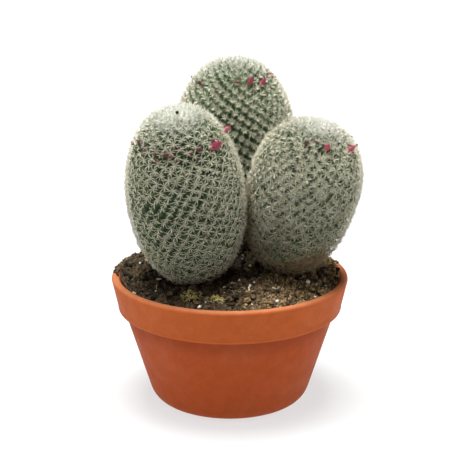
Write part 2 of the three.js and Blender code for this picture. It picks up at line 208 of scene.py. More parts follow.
class Graph:
    """A material's node tree, made by short calls that each return a socket."""

    def __init__(self, name: str) -> None:
        """Starts a material with one principled shader.

        Args:
            name: The material's name.
        """
        self.material = bpy.data.materials.new(name)
        self.material.use_nodes = True
        self.tree = self.material.node_tree
        self.tree.nodes.clear()
        self.shader = self.node("BsdfPrincipled", {})
        self.node("OutputMaterial", {"Surface": self.shader.outputs["BSDF"]})

    def node(self, kind: str, inputs: dict[str | int, Any], **options: Any) -> bpy.types.Node:
        """Adds a node.

        Args:
            kind: Its type, such as TexNoise.
            inputs: What goes into its sockets, by their names or numbers.
            **options: Its other settings.

        Returns:
            The node.
        """
        node = self.tree.nodes.new("ShaderNode" + kind)
        for name, value in options.items():
            setattr(node, name, value)
        for key, value in inputs.items():
            self.put(node.inputs[key], value)
        return node

    def put(self, socket: Socket, value: Any) -> None:
        """Links a socket to another one, or sets it to a constant.

        Args:
            socket: The socket that is fed.
            value: A socket or a constant.
        """
        if isinstance(value, Socket):
            self.tree.links.new(value, socket)
        else:
            socket.default_value = value

    def surface(self, **values: Any) -> None:
        """Feeds the shader's sockets by name, with underscores for spaces."""
        for name, value in values.items():
            self.put(self.shader.inputs[name.replace("_", " ")], value)

    def mark(self, name: str) -> Socket:
        """Reads one of the mesh's named numbers."""
        return self.node("Attribute", {}, attribute_name=name).outputs["Fac"]

    def place(self) -> Socket:
        """Reads the place on the object, in metres."""
        return self.node("TexCoord", {}).outputs["Object"]

    def height(self) -> Socket:
        """Reads the height on the object, in metres."""
        return self.node("SeparateXYZ", {0: self.place()}).outputs["Z"]

    def noise(self, size: float, detail: float = 4, rough: float = 0.55) -> Socket:
        """Makes a cloudy pattern of 0 to 1, with patches of that size in millimetres and finer ones."""
        inputs = {"Vector": self.place(), "Scale": 1 / (size * MM), "Detail": detail, "Roughness": rough}
        return self.node("TexNoise", inputs).outputs["Fac"]

    def spots(self, size: float) -> Socket:
        """Reads the distance to the nearest of many scattered points, size millimetres apart."""
        return self.node("TexVoronoi", {"Vector": self.place(), "Scale": 1 / (size * MM)}).outputs["Distance"]

    def remap(self, value: Socket, low: float, high: float, start: float = 0, end: float = 1) -> Socket:
        """Maps a value smoothly from low..high to start..end."""
        inputs = {"Value": value, "From Min": low, "From Max": high, "To Min": start, "To Max": end}
        return self.node("MapRange", inputs, interpolation_type="SMOOTHSTEP").outputs["Result"]

    def math(self, operation: str, first: Socket, second: Socket) -> Socket:
        """Joins two values by one arithmetic step."""
        return self.node("Math", {0: first, 1: second}, operation=operation).outputs["Value"]

    def grey(self, value: Socket) -> Socket:
        """Turns a number into a grey colour."""
        return self.node("CombineXYZ", {0: value, 1: value, 2: value}).outputs[0]

    def mix(self, share: Socket | float, first: Socket | Colour, second: Socket | Colour,
            way: str = "MIX") -> Socket:
        """Blends two colours, with that share of the second one."""
        inputs = {0: share, 6: first, 7: second}
        return self.node("Mix", inputs, data_type="RGBA", blend_type=way).outputs[2]

    def bump(self, height: Socket, depth: float, strength: float) -> None:
        """Raises the surface's shading by a pattern, to a depth in millimetres."""
        node = self.node("Bump", {"Height": height, "Distance": depth * MM, "Strength": strength})
        self.surface(Normal=node.outputs["Normal"])


@dataclass(frozen=True)
class ClayFinish:
    """Unglazed fired clay: lighter at the rim, with painted shade under its band, a faint bloom and fine
    grit.
    """

    wall: Colour = srgb(168, 75, 34)
    painted_shade: Colour = srgb(108, 38, 12)
    rim: Colour = srgb(182, 89, 42)
    lip: Colour = srgb(168, 102, 66)
    bloom: Colour = srgb(196, 128, 92)
    grit: Colour = srgb(140, 72, 44)
    rim_foot: float = 47.5
    lip_start: float = 63.6
    lip_blend: float = 1.3
    painted_shade_reach: float = 11.0
    painted_shade_share: float = 0.38
    roughness: float = 0.6

    def make(self) -> Material:
        """Builds the material.

        Returns:
            The material.
        """
        graph = Graph("fired_clay")
        height = graph.height()
        foot, top = self.rim_foot - 1, self.rim_foot + 1
        # Painted shade under the rim band, strongest just below it and fading down the wall.
        under = graph.remap(height, (self.rim_foot - self.painted_shade_reach) * MM, foot * MM, 0, self.painted_shade_share)
        colour = graph.mix(under, self.wall, self.painted_shade)
        colour = graph.mix(graph.remap(height, foot * MM, top * MM), colour, self.rim)
        lip = graph.remap(height, self.lip_start * MM, (self.lip_start + self.lip_blend) * MM)
        colour = graph.mix(lip, colour, self.lip)
        colour = graph.mix(graph.remap(graph.noise(26, 5, 0.6), 0.46, 0.74, 0, 0.1), colour, self.bloom)
        streak = graph.remap(graph.noise(5, 6, 0.7), 0.35, 0.65, 0.93, 1.05)
        colour = graph.mix(1.0, colour, graph.grey(streak), "MULTIPLY")
        colour = graph.mix(graph.remap(graph.spots(1.5), 0.08, 0.3, 0.16, 0), colour, self.grit)
        rough = graph.remap(graph.noise(9, 3), 0.3, 0.7, self.roughness - 0.08, self.roughness + 0.1)
        graph.surface(Base_Color=colour, Roughness=rough, Specular_IOR_Level=0.08)
        graph.bump(graph.noise(0.9, 5, 0.7), 0.05, 0.5)
        return graph.material


@dataclass(frozen=True)
class MixFinish:
    """Dark potting mix: peat, bark and grit, each crumb with a tone of its own."""

    dark: Colour = srgb(24, 19, 12)
    middle: Colour = srgb(104, 84, 58)
    bark: Colour = srgb(172, 142, 98)
    dust: Colour = srgb(190, 174, 130)

    def make(self) -> Material:
        """Builds the material.

        Returns:
            The material.
        """
        graph = Graph("potting_mix")
        tone = graph.mark("tone")
        colour = graph.mix(graph.remap(tone, 0.0, 0.5), self.dark, self.middle)
        colour = graph.mix(graph.remap(tone, 0.55, 0.9), colour, self.bark)
        colour = graph.mix(graph.remap(graph.noise(1.6, 5, 0.75), 0.4, 0.62, 0.75, 0), colour, self.dark)
        colour = graph.mix(graph.remap(graph.noise(0.8, 4, 0.75), 0.58, 0.74, 0, 0.6), colour, self.dust)
        graph.surface(Base_Color=colour, Roughness=0.92, Specular_IOR_Level=0.25)
        graph.bump(graph.noise(0.6, 6, 0.8), 0.3, 0.8)
        return graph.material


@dataclass(frozen=True)
class PlainFinish:
    """A small natural piece in two tones that a cloudy pattern mixes, such as perlite, roots or moss."""

    name: str
    light: Colour
    dark: Colour
    patch: float = 1.2
    roughness: float = 0.85
    grain: float = 0.1

    def make(self) -> Material:
        """Builds the material.

        Returns:
            The material.
        """
        graph = Graph(self.name)
        cloud = graph.remap(graph.noise(self.patch, 4, 0.6), 0.32, 0.68)
        colour = graph.mix(cloud, self.dark, self.light)
        colour = graph.mix(graph.remap(graph.mark("tone"), 0, 1, 0, 0.55), colour, self.light)
        graph.surface(Base_Color=colour, Roughness=self.roughness)
        graph.bump(graph.noise(self.patch * 0.3, 4, 0.7), self.grain, 0.7)
        return graph.material


@dataclass(frozen=True)
class FleshFinish:
    """The stem's skin: grey-green tubercles, furrows dark green as painted shade, brown cork at the foot."""

    name: str = "cactus_flesh"
    furrow: Colour = srgb(36, 51, 31)
    tubercle: Colour = srgb(86, 110, 70)
    crown: Colour = srgb(206, 208, 194)
    cork: Colour = srgb(112, 88, 62)

    def make(self) -> Material:
        """Builds the material.

        Returns:
            The material.
        """
        graph = Graph(self.name)
        # Painted shade: the skin darkens from each tubercle's top down into the furrows.
        colour = graph.mix(graph.remap(graph.mark("rise"), 0.15, 0.9), self.furrow, self.tubercle)
        colour = graph.mix(graph.remap(graph.mark("crown"), 0.1, 1, 0, 0.9), colour, self.crown)
        colour = graph.mix(graph.remap(graph.noise(7, 4, 0.6), 0.35, 0.7, 0, 0.35), colour, self.furrow)
        colour = graph.mix(graph.mark("cork"), colour, self.cork)
        graph.surface(Base_Color=colour, Roughness=0.6, Specular_IOR_Level=0.2)
        graph.surface(Subsurface_Weight=0.06, Subsurface_Scale=1.0 * MM)
        graph.bump(graph.noise(0.7, 4, 0.65), 0.12, 0.6)
        return graph.material


@dataclass(frozen=True)
class SpineFinish:
    """White spines, tan at the foot and faintly brown at the tip, dingier on aged growth.

    They also carry painted shade on the stem's lower half and where another stem is near.
    """

    foot: Colour = srgb(200, 182, 150)
    shaft: Colour = srgb(240, 237, 214)
    tip: Colour = srgb(150, 138, 112)
    aged_and_shaded: Colour = srgb(146, 131, 102)
    wool: Colour = srgb(244, 246, 242)

    def make(self) -> Material:
        """Builds the material.

        Returns:
            The material.
        """
        graph = Graph("white_spines")
        along = graph.mark("along")
        colour = graph.mix(graph.remap(along, 0.0, 0.3), self.foot, self.shaft)
        colour = graph.mix(graph.remap(graph.noise(9, 4, 0.6), 0.4, 0.7, 0, 0.25), colour, self.aged_and_shaded)
        # Darkening: aged and corky growth, plus painted shade on the lower half and near other stems.
        colour = graph.mix(graph.mark("age"), colour, self.aged_and_shaded)
        colour = graph.mix(graph.mark("crown"), colour, self.wool)
        tone = graph.remap(graph.mark("tone"), 0, 1, 0.35, 1)
        colour = graph.mix(graph.math("MULTIPLY", graph.remap(along, 0.4, 1.0), tone), colour, self.tip)
        graph.surface(Base_Color=colour, Roughness=0.6, Specular_IOR_Level=0.1)
        return graph.material


@dataclass(frozen=True)
class PetalFinish:
    """Petals that run from a pale foot to a strong tip, with fine veins along them."""

    name: str
    foot: Colour
    tip: Colour
    dry: float = 0.0
    withered: Colour = srgb(70, 40, 34)

    def make(self) -> Material:
        """Builds the material.

        Returns:
            The material.
        """
        graph = Graph(self.name)
        reach = graph.math("ADD", graph.mark("along"), graph.mark("tone"))
        colour = graph.mix(graph.remap(reach, 0.75, 1.3), self.foot, self.tip)
        colour = graph.mix(graph.remap(graph.noise(0.5, 4, 0.6), 0.35, 0.7, 0, 0.35), colour, self.tip)
        colour = graph.mix(graph.remap(graph.noise(1.4, 3), 0.3, 0.7, 0, self.dry), colour, self.withered)
        graph.surface(Base_Color=colour, Roughness=0.5, Sheen_Weight=0.1, Sheen_Roughness=0.4)
        graph.surface(Subsurface_Weight=0.15, Subsurface_Scale=0.6 * MM)
        graph.bump(graph.noise(0.35, 3), 0.06, 0.6)
        return graph.material


@dataclass(frozen=True)
class FloorFinish:
    """A pale matt floor, lit from below like a light table, with the faintest mottling."""

    colour: Colour = (0.26, 0.26, 0.26, 1.0)
    shade: Colour = (0.24, 0.24, 0.24, 1.0)
    glow: Colour = (1.0, 1.0, 1.0, 1.0)
    near_glow: float = 0.66
    far_glow: float = 1.0
    near: float = 250.0
    far: float = 900.0

    def make(self) -> Material:
        """Builds the material.

        Returns:
            The material.
        """
        graph = Graph("pale_floor")
        colour = graph.mix(graph.noise(400, 2), self.colour, self.shade)
        graph.surface(Base_Color=colour, Roughness=0.9, Specular_IOR_Level=0.1)
        away = graph.node("VectorMath", {0: graph.place()}, operation="LENGTH").outputs["Value"]
        glow = graph.remap(away, self.near * MM, self.far * MM, self.near_glow, self.far_glow)
        graph.surface(Emission_Color=self.glow, Emission_Strength=glow)
        return graph.material


@dataclass
class Egg:
    """A leaning egg whose halves are superellipses. Local +Z runs up its axis from its widest level."""

    centre: tuple[float, float, float]
    radius: float
    top: float
    bottom: float
    lean: tuple[float, float]
    power: float = 2.15

    def shrunk(self, by: float) -> Egg:
        """Returns the same egg, smaller all round by that much."""
        return Egg(self.centre, self.radius - by, self.top - by, self.bottom - by, self.lean, self.power)

    def turn(self) -> Array:
        """Returns the rotation from local to frame directions, as a 3 by 3 matrix."""
        axis = Vector((math.tan(math.radians(self.lean[0])), math.tan(math.radians(self.lean[1])), 1))
        return np.array(Vector((0, 0, 1)).rotation_difference(axis.normalized()).to_matrix())

    def to_frame(self, points: Array) -> Array:
        """Moves local points into the frame."""
        return points @ self.turn().T + np.array(self.centre)

    def to_local(self, points: Array) -> Array:
        """Moves frame points into local ones."""
        return (points - np.array(self.centre)) @ self.turn()

    def half(self, z: Array | float) -> Array:
        """Returns how high the egg is on the side of each local height."""
        return np.where(z > 0, self.top, self.bottom)

    def radius_at(self, z: Array | float) -> Array | float:
        """Returns the radius at each local height."""
        share = np.clip(np.abs(z) / self.half(z), 0, 1)
        return self.radius * (1 - share**self.power) ** (1 / self.power)

    def reach(self, points: Array) -> Array:
        """Returns how far out local points lie, 1 on the skin."""
        side = np.hypot(points[..., 0], points[..., 1]) / self.radius
        return side**self.power + (np.abs(points[..., 2]) / self.half(points[..., 2])) ** self.power

    def normals(self, points: Array) -> Array:
        """Finds the outward directions on the skin.

        Args:
            points: Local points on the skin.

        Returns:
            A direction for each.
        """
        z, half = points[:, 2], self.half(points[:, 2])
        out = np.maximum(np.hypot(points[:, 0], points[:, 1]), 1e-9)
        side = (out / self.radius) ** (self.power - 1) / self.radius
        along = np.sign(z) * (np.abs(z) / half) ** (self.power - 1) / half
        return unit(np.stack([points[:, 0] / out * side, points[:, 1] / out * side, along], 1))

    def outline(self, steps: int) -> tuple[Array, Array, Array]:
        """Follows the egg's side from its top to its foot.

        Args:
            steps: How many points the line has.

        Returns:
            Radius, height and distance along the line, at even distances.
        """
        angle = np.linspace(0, math.pi, 4000)
        half = np.where(angle < math.pi / 2, self.top, self.bottom)
        z = np.sign(np.cos(angle)) * half * np.abs(np.cos(angle)) ** (2 / self.power)
        r = self.radius * np.sin(angle) ** (2 / self.power)
        arc = np.concatenate([[0], np.cumsum(np.hypot(np.diff(r), np.diff(z)))])
        even = np.linspace(0, arc[-1], steps)
        return np.interp(even, arc, r), np.interp(even, arc, z), even


@dataclass
class SoilForm:
    """The surface of the mix: nearly level with the rim in front, higher behind and round the stems."""

    edge: float = 55.5
    level: float = 63.6
    back_rise: float = 2.4
    front_y: float = -45
    back_y: float = 12
    crown: float = 5.4
    heap_at: tuple[float, float] = (24.6, -9)
    heap_height: float = 3.6
    heap_reach: float = 15

    def height(self, x: Array, y: Array) -> Array:
        """Follows the smooth surface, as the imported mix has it.

        Args:
            x: Places along X.
            y: Places along Y.

        Returns:
            The height at each place.
        """
        out = np.hypot(x, y) / self.edge
        away = np.hypot(x - self.heap_at[0], y - self.heap_at[1]) / self.heap_reach
        rise = self.back_rise * smoothstep(self.front_y, self.back_y, y)
        rise = rise + self.crown * np.maximum(0, 1 - out * out)
        return self.level + rise + self.heap_height * np.exp(-away * away)


@dataclass
class Needles:
    """Many thin three-sided spines at once, straight ones or ones that bow outward at the middle."""

    foot: Array
    way: Array
    length: Array
    radius: Array
    bow: Array | None = None
    middle: float = 0.58
    bowed_foot: float = 0.75

    def add_to(self, facets: Facets, **marks: Array) -> None:
        """Adds the spines.

        Args:
            facets: What they are added to.
            **marks: Numbers with one value for each spine. "along" is set here.
        """
        count = len(self.foot)
        if count == 0:
            return
        tips = self.foot + self.way * self.length[:, None]
        shape = [[0, 2, 1]]
        if self.bow is None:
            corners, along = self.ring(self.foot, 1.0), [0.0] * 3
        else:
            middle = self.foot + self.way * self.length[:, None] * self.middle + self.bow
            corners = self.ring(self.foot, self.bowed_foot) + self.ring(middle, 1.0)
            along = [0.0] * 3 + [self.middle] * 3
            shape += [[0, 1, 4], [0, 4, 3], [1, 2, 5], [1, 5, 4], [2, 0, 3], [2, 3, 5]]
        tip = len(corners)
        shape += [[tip - 3, tip - 2, tip], [tip - 2, tip - 1, tip], [tip - 1, tip - 3, tip]]
        points = np.stack([*corners, tips], 1).reshape(-1, 3)
        faces = (np.arange(count)[:, None, None] * (tip + 1) + np.array(shape)).reshape(-1, 3)
        each = {name: np.repeat(np.broadcast_to(value, count), tip + 1) for name, value in marks.items()}
        facets.add(points, faces, along=np.tile([*along, 1.0], count), **each)

    def ring(self, at: Array, share: float) -> list[Array]:
        """Finds the three corners round each spine at one place along it.

        Args:
            at: The middle of each ring.
            share: How much of the radius it has.

        Returns:
            The first corners, the second ones and the third ones.
        """
        side = unit(np.cross(self.way, np.roll(self.way, 1, axis=1) + 0.013))
        other = np.cross(self.way, side)
        return [at + (math.cos(angle) * side + math.sin(angle) * other) * self.radius[:, None] * share
                for angle in turns(3)]


@dataclass(frozen=True)
class SpineKind:
    """How the spines of one kind stand: their tilt off the skin in degrees, and how much they vary."""

    tilt: float
    tilt_spread: float
    length_spread: float
    bow: float = 0.0
    bow_spread: float = 0.0

    def tilts(self, random: Random, count: int, more: float = 0.0) -> Array:
        """Draws their tilts in degrees."""
        return random.normal(self.tilt + more, self.tilt_spread, count)

    def sizes(self, random: Random, count: int) -> Array:
        """Draws their lengths as shares of the usual one."""
        return random.normal(1, self.length_spread, count)

    def bows(self, random: Random, count: int) -> Array:
        """Draws how far their middles stand out."""
        return random.normal(self.bow, self.bow_spread, count)


# The low spines of the star, the steep ones that point up and down, and the upright ones of the crown.
RADIAL = SpineKind(11.5, 9, 0.15, 0.36, 0.2)
CENTRALS = (SpineKind(60, 9, 0.15, 0.15, 0.1), SpineKind(42, 9, 0.15, 0.15, 0.1))
WHISKER = SpineKind(66, 14, 0.25)


@dataclass(frozen=True)
class Areoles:
    """The areoles of a stem, as arrays with one row for each. Places and directions are the egg's own.

    The growth numbers run from 0 to 1: crown is how near the top an areole is, white how near the wool,
    thin how thinly spined, and the next how much its spines darken from aged and corky growth, with painted
    shade on the lower half and where another stem is near. Size is the share of the usual spine length.
    """

    points: Array
    normals: Array
    spacing: Array
    crown: Array
    white: Array
    thin: Array
    age: Array
    size: Array

    def aim(self, angle: Array, tilt: Array) -> Array:
        """Points a spine of each areole.

        Args:
            angle: Its turn round the areole, from level.
            tilt: Its tilt off the skin.

        Returns:
            The directions.
        """
        across = unit(np.stack([-self.points[:, 1], self.points[:, 0], 0 * angle], 1))
        up = np.cross(self.normals, across)
        flat = np.cos(angle)[:, None] * across + np.sin(angle)[:, None] * up
        return unit(flat * np.cos(tilt)[:, None] + self.normals * np.sin(tilt)[:, None])


@dataclass
class Stem:
    """One cactus stem: its fleshy body with a spiral of tubercles, and the spines on every areole.

    The areoles follow golden turns from the crown down, in the given hand, one or two at a time. Skew is what
    the real stem's turn differs from the golden one. The fields from crown_share to crown_reach tell how the
    growth changes near the top, and those from bare_turn to cork_edge where the skin shows or is corky. The
    field after them darkens the spines on the lower half, partly as aged growth and partly as painted shade.
    Crowd tells how near another stem has to be for painted shade to darken the spines. Young growth fades
    between the two distances from the top, and the tubercles rise between the two heights of the seam with
    the mix.
    """

    name: str
    egg: Egg
    seed: int
    spacing: float = 4.1
    fill: float = 0.87
    hand: int = 1
    skew: float = 0.0
    twins: int = 1
    jitter: float = 0.055
    crown_share: float = 0.6
    crown_lift: float = 26.0
    crown_fade: float = 0.8
    crown_reach: float = 30.0
    spine_rise: float = 1.45
    tubercle: float = 2.6
    tubercle_reach: float = 0.58
    spine_length: float = 3.2
    spine_radius: float = 0.12
    radials: int = 10
    radial_sway: float = 0.25
    crown_straight: float = 0.6
    thin_short: float = 0.35
    thin_loss: float = 0.6
    white_loss: float = 0.2
    star: float = 1.06
    level: float = 0.25
    tuft: float = 0.0
    central: float = 2.3
    central_share: float = 0.6
    central_sway: float = 0.6
    central_radius: float = 0.85
    whiskers: int = 3
    whisker: float = 3.0
    whisker_share: float = 1.3
    white_reach: float = 28.0
    felt: float = 1.0
    felt_reach: float = 21.0
    hairs: int = 380
    hair_radius: float = 0.075
    hair_lengths: tuple[float, float] = (0.7, 2.2)
    hair_sway: float = 0.45
    wool_reach: float = 12.0
    scraps: int = 44
    scrap_length: float = 2.6
    scrap_sizes: tuple[float, float] = (0.5, 0.95)
    scrap_rises: tuple[float, float] = (0.5, 1.7)
    scrap_spread: float = 1.6
    around: int = 190
    rows: int = 146
    bare_turn: float = -113.0
    bare_height: float = 4.0
    bare_reach: tuple[float, float] = (12, 5)
    bareness: float = 0.0
    ring_height: float = 27.5
    ring_reach: float = 3.0
    ring_bareness: float = 0.25
    cork_turn: float = -40.0
    cork_rise: float = 3.0
    cork_facing: tuple[float, float] = (0.2, 2.0)
    cork_edge: tuple[float, float] = (0.4, 1.6)
    # Darkening of the spines on the lower half, partly aged growth and partly painted shade.
    low_age_and_shade: float = 0.45
    crowd: tuple[float, float] = (1.05, 1.5)
    young: tuple[float, float] = (5, 34)
    seam: tuple[float, float] = (-3, 1)
    cork_age: float = 0.9
    # Painted shade on the spines where another stem is near.
    crowd_shade: float = 0.7
    buried: float = 1.5
    foot_rise: float = 0.05
    foot_out: float = 0.12
    mix_gap: float = 0.2
    stem_gap: float = 0.01
    bloom_gap: float = 0.1
    others: list[Egg] = field(default_factory=list)
    blooms: list[Bloom] = field(default_factory=list)

    def core(self) -> Egg:
        """Returns the egg that the spines stand on."""
        return self.egg.shrunk(self.spine_rise)

    def spacing_at(self, arc: Array) -> Array:
        """Returns the distance between areoles at a distance from the top of the crown."""
        share = smoothstep(0, self.crown_reach, arc)
        return self.spacing * (self.crown_share + (1 - self.crown_share) * share)

    def areoles(self) -> Areoles:
        """Places the areoles by golden turns from the crown down.

        Returns:
            The areoles that lie above the mix or just below it.
        """
        egg = self.core()
        r, z, arc = egg.outline(FINE_STEPS)
        middle = (r[1:] + r[:-1]) / 2
        filled = 2 * math.pi * middle * np.diff(arc) / (self.spacing_at(arc[1:]) ** 2 * self.fill)
        total = np.concatenate([[0], np.cumsum(filled)])
        count = int(total[-1])
        random = np.random.default_rng(self.seed)
        step, twin = np.divmod(np.arange(count), self.twins)
        rank = (step + 0.5) * self.twins
        at = np.interp(rank * total[-1] / count, total, arc)
        at = np.maximum(at + random.normal(0, self.jitter, count) * self.spacing, 0.2)
        turn = step * (GOLDEN_ANGLE + math.radians(self.skew)) + twin * 2 * math.pi
        turn = turn * self.hand / self.twins
        radius = np.interp(at, arc, r)
        turn = turn + random.normal(0, self.jitter, count) * self.spacing / np.maximum(radius, 2)
        points = polar(radius, turn, np.interp(at, arc, z))
        kept = self.above_mix(points) > -self.buried
        return self.grown(points[kept], at[kept])

    def grown(self, points: Array, arc: Array) -> Areoles:
        """Works out how each areole has grown.

        Args:
            points: The areoles' places.
            arc: Their distances from the top of the crown.

        Returns:
            The areoles.
        """
        low = smoothstep(0, -self.egg.bottom, points[:, 2])
        # Spine darkening: cork, aged growth with painted shade on the lower half, painted shade near other
        # stems.
        age = self.cork_age * self.cork(points) + self.low_age_and_shade * low + self.crowd_shade * self.crowded(points)
        spacing = self.spacing_at(arc)
        return Areoles(points, self.core().normals(points), spacing, crown=1 - smoothstep(*self.young, arc),
                       white=1 - smoothstep(1, self.white_reach, arc), thin=self.bare(points),
                       age=np.clip(age, 0, 1), size=(spacing / self.spacing) ** self.crown_fade)

    def above_mix(self, points: Array) -> Array:
        """Returns how high local points lie over the surface of the mix."""
        world = self.egg.to_frame(points)
        return world[:, 2] - SoilForm().height(world[:, 0], world[:, 1])

    def crowded(self, points: Array) -> Array:
        """Finds how close to another stem the skin is.

        Args:
            points: Local points on the skin.

        Returns:
            A share for each, 0 to 1.
        """
        world = self.egg.to_frame(points)
        nearest = np.min([other.reach(other.to_local(world)) for other in self.others], axis=0)
        return 1 - smoothstep(*self.crowd, nearest)

    def cork(self, points: Array) -> Array:
        """Finds how corky the skin is.

        Args:
            points: Local points on the skin.

        Returns:
            A share for each, 0 to 1.
        """
        turn = np.arctan2(points[:, 1], points[:, 0])
        facing = np.cos(turn - math.radians(self.cork_turn)) * 0.5 + 0.5
        least, more = self.cork_facing
        reach = self.cork_rise * (least + more * facing**4)
        start, end = self.cork_edge
        return 1 - smoothstep(reach * start, reach * end, self.above_mix(points))

    def bare(self, points: Array) -> Array:
        """Finds how thinly spined the skin is, in one patch and along the ring of flowers.

        Args:
            points: Local points on the skin.

        Returns:
            A share for each, 0 to 1.
        """
        turn = np.arctan2(points[:, 1], points[:, 0]) - math.radians(self.bare_turn)
        away = np.abs((turn + math.pi) % (2 * math.pi) - math.pi) * self.egg.radius
        patch = bell(away, 0, self.bare_reach[0]) * bell(points[:, 2], self.bare_height, self.bare_reach[1])
        ring = bell(points[:, 2], self.ring_height, self.ring_reach)
        return np.maximum(self.bareness * patch, self.ring_bareness * ring)

    def place(self, turn: float, height: float, rise: float) -> Array:
        """Finds a place on the stem, a little over the spines' feet.

        Args:
            turn: Its turn round the stem in degrees.
            height: Its height over the egg's widest level.
            rise: How far it is over the spines' feet.

        Returns:
            The point in the frame.
        """
        egg = self.core()
        point = polar(egg.radius_at(height), math.radians(turn), height)[None]
        return egg.to_frame(point + egg.normals(point) * rise)[0]

    def flesh(self, areoles: Areoles, finish: Material) -> Piece:
        """Builds the body: a fine net over the egg, raised into a cone round every areole.

        Args:
            areoles: The areoles.
            finish: The skin's material.

        Returns:
            The piece.
        """
        egg = self.core()
        r, z, arc = egg.outline(self.rows)
        poles = [[0, 0, egg.top], [0, 0, -egg.bottom]]
        points = np.concatenate([revolve(r[1:-1], z[1:-1], self.around), poles])
        from_crown = np.concatenate([np.repeat(arc[1:-1], self.around), [0, arc[-1]]])
        rise = self.rise_at(points, areoles)
        depth = self.tubercle * self.spacing_at(from_crown) / self.spacing
        sunk = smoothstep(*self.seam, self.above_mix(points))
        raised = points - egg.normals(points) * (depth * (1 - rise * sunk))[:, None]
        crown = self.felt * (1 - smoothstep(0, self.felt_reach, from_crown))
        facets = Facets()
        facets.add(egg.to_frame(raised), closed_net(self.rows - 2, self.around), rise=rise, crown=crown,
                   cork=self.cork(points))
        piece = facets.build(f"flesh_{self.name}", finish)
        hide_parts(f"stem_{self.name}")
        return piece

    def rise_at(self, points: Array, areoles: Areoles) -> Array:
        """Finds how high each point lies on its tubercle.

        Args:
            points: Local points on the skin.
            areoles: The areoles, which are the tubercles' tops.

        Returns:
            A share for each, 0 in a furrow and 1 at the areole.
        """
        tree = kdtree.KDTree(len(areoles.points))
        for i, place in enumerate(areoles.points):
            tree.insert(place, i)
        tree.balance()
        found = [tree.find(point)[1:] for point in points]
        nearest, away = np.array([i for i, _ in found]), np.array([distance for _, distance in found])
        return 1 - np.minimum(1, away / (self.tubercle_reach * areoles.spacing[nearest])) ** 1.15

    def spines(self, areoles: Areoles, finish: Material) -> Piece:
        """Builds every spine of the stem and the wool of its crown, as one piece.

        Args:
            areoles: The areoles.
            finish: The spines' material.

        Returns:
            The piece.
        """
        random = np.random.default_rng(self.seed + 1)
        facets = Facets()
        self.add_radials(facets, areoles, random)
        self.add_centrals(facets, areoles, random)
        self.add_whiskers(facets, areoles, random)
        self.add_wool(facets, random)
        piece = facets.build(f"spines_{self.name}", finish)
        return piece

    def add_radials(self, facets: Facets, areoles: Areoles, random: Random) -> None:
        """Adds the low spines that spread round every areole like a star, wider than high.

        Args:
            facets: What they are added to.
            areoles: The areoles.
            random: The stream of random numbers.
        """
        count = len(areoles.points)
        for n in range(self.radials):
            angle = 2 * math.pi * (n + random.normal(0, self.radial_sway, count)) / self.radials
            tilt = np.radians(RADIAL.tilts(random, count, self.tuft) + areoles.crown * self.crown_lift)
            length = self.spine_length * areoles.size * RADIAL.sizes(random, count)
            length *= (1 - self.thin_short * areoles.thin) * (self.star - self.level * np.sin(angle) ** 2)
            bow = RADIAL.bows(random, count) * (1 - self.crown_straight * areoles.crown)
            lost = np.maximum(self.thin_loss * areoles.thin, self.white_loss * areoles.white)
            keep = random.random(count) > lost
            self.add_spines(facets, areoles, areoles.aim(angle, tilt), length, self.spine_radius, bow, keep)

    def add_centrals(self, facets: Facets, areoles: Areoles, random: Random) -> None:
        """Adds the steep spines of each areole, one that points up and one that points down.

        Args:
            facets: What they are added to.
            areoles: The areoles.
            random: The stream of random numbers.
        """
        count = len(areoles.points)
        for kind, heading in zip(CENTRALS, (math.pi / 2, 3 * math.pi / 2)):
            tilt = np.radians(kind.tilts(random, count))
            angle = random.normal(heading, self.central_sway, count)
            length = self.central * areoles.size * kind.sizes(random, count)
            bow = kind.bows(random, count)
            keep = random.random(count) < self.central_share
            way = areoles.aim(angle, tilt)
            self.add_spines(facets, areoles, way, length, self.central_radius * self.spine_radius, bow, keep)

    def add_whiskers(self, facets: Facets, areoles: Areoles, random: Random) -> None:
        """Adds the upright young spines of the crown.

        Args:
            facets: What they are added to.
            areoles: The areoles.
            random: The stream of random numbers.
        """
        count = len(areoles.points)
        for _ in range(self.whiskers):
            tilt = np.radians(WHISKER.tilts(random, count))
            angle = random.uniform(0, 2 * math.pi, count)
            length = self.whisker * areoles.size * WHISKER.sizes(random, count)
            keep = random.random(count) < self.whisker_share * areoles.crown
            way = areoles.aim(angle, tilt)
            self.add_spines(facets, areoles, way, length, self.spine_radius, 0 * length, keep)

    def add_spines(self, facets: Facets, areoles: Areoles, way: Array, length: Array, radius: float,
                   bow: Array, keep: Array) -> None:
        """Adds one spine for each areole, where it is clear of the mix, the flowers and the other stems.

        Args:
            facets: What they are added to.
            areoles: The areoles.
            way: Their directions.
            length: Their lengths.
            radius: Their radius at the foot.
            bow: How far their middles stand out.
            keep: Which areoles have this spine.
        """
        foot = areoles.points + areoles.normals * self.foot_rise + way * self.foot_out
        tip = foot + way * length[:, None]
        tips = self.egg.to_frame(tip)
        own = self.core().reach(self.egg.to_local(tips))
        clear = keep & (self.above_mix(foot) > self.mix_gap)
        for other in self.others:
            clear &= other.shrunk(self.spine_rise).reach(other.to_local(tips)) > own - self.stem_gap
        for bloom in self.blooms:
            clear &= bloom.clear_of(foot, self.bloom_gap) & bloom.clear_of(tip, self.bloom_gap)
        turn = self.egg.turn().T
        needles = Needles(self.egg.to_frame(foot[clear]), way[clear] @ turn, length[clear],
                          np.full(clear.sum(), radius), areoles.normals[clear] @ turn * bow[clear, None])
        tone = np.random.default_rng(len(foot) + facets.size).random(clear.sum())
        needles.add_to(facets, tone=tone, crown=areoles.white[clear] * 0.85, age=areoles.age[clear])

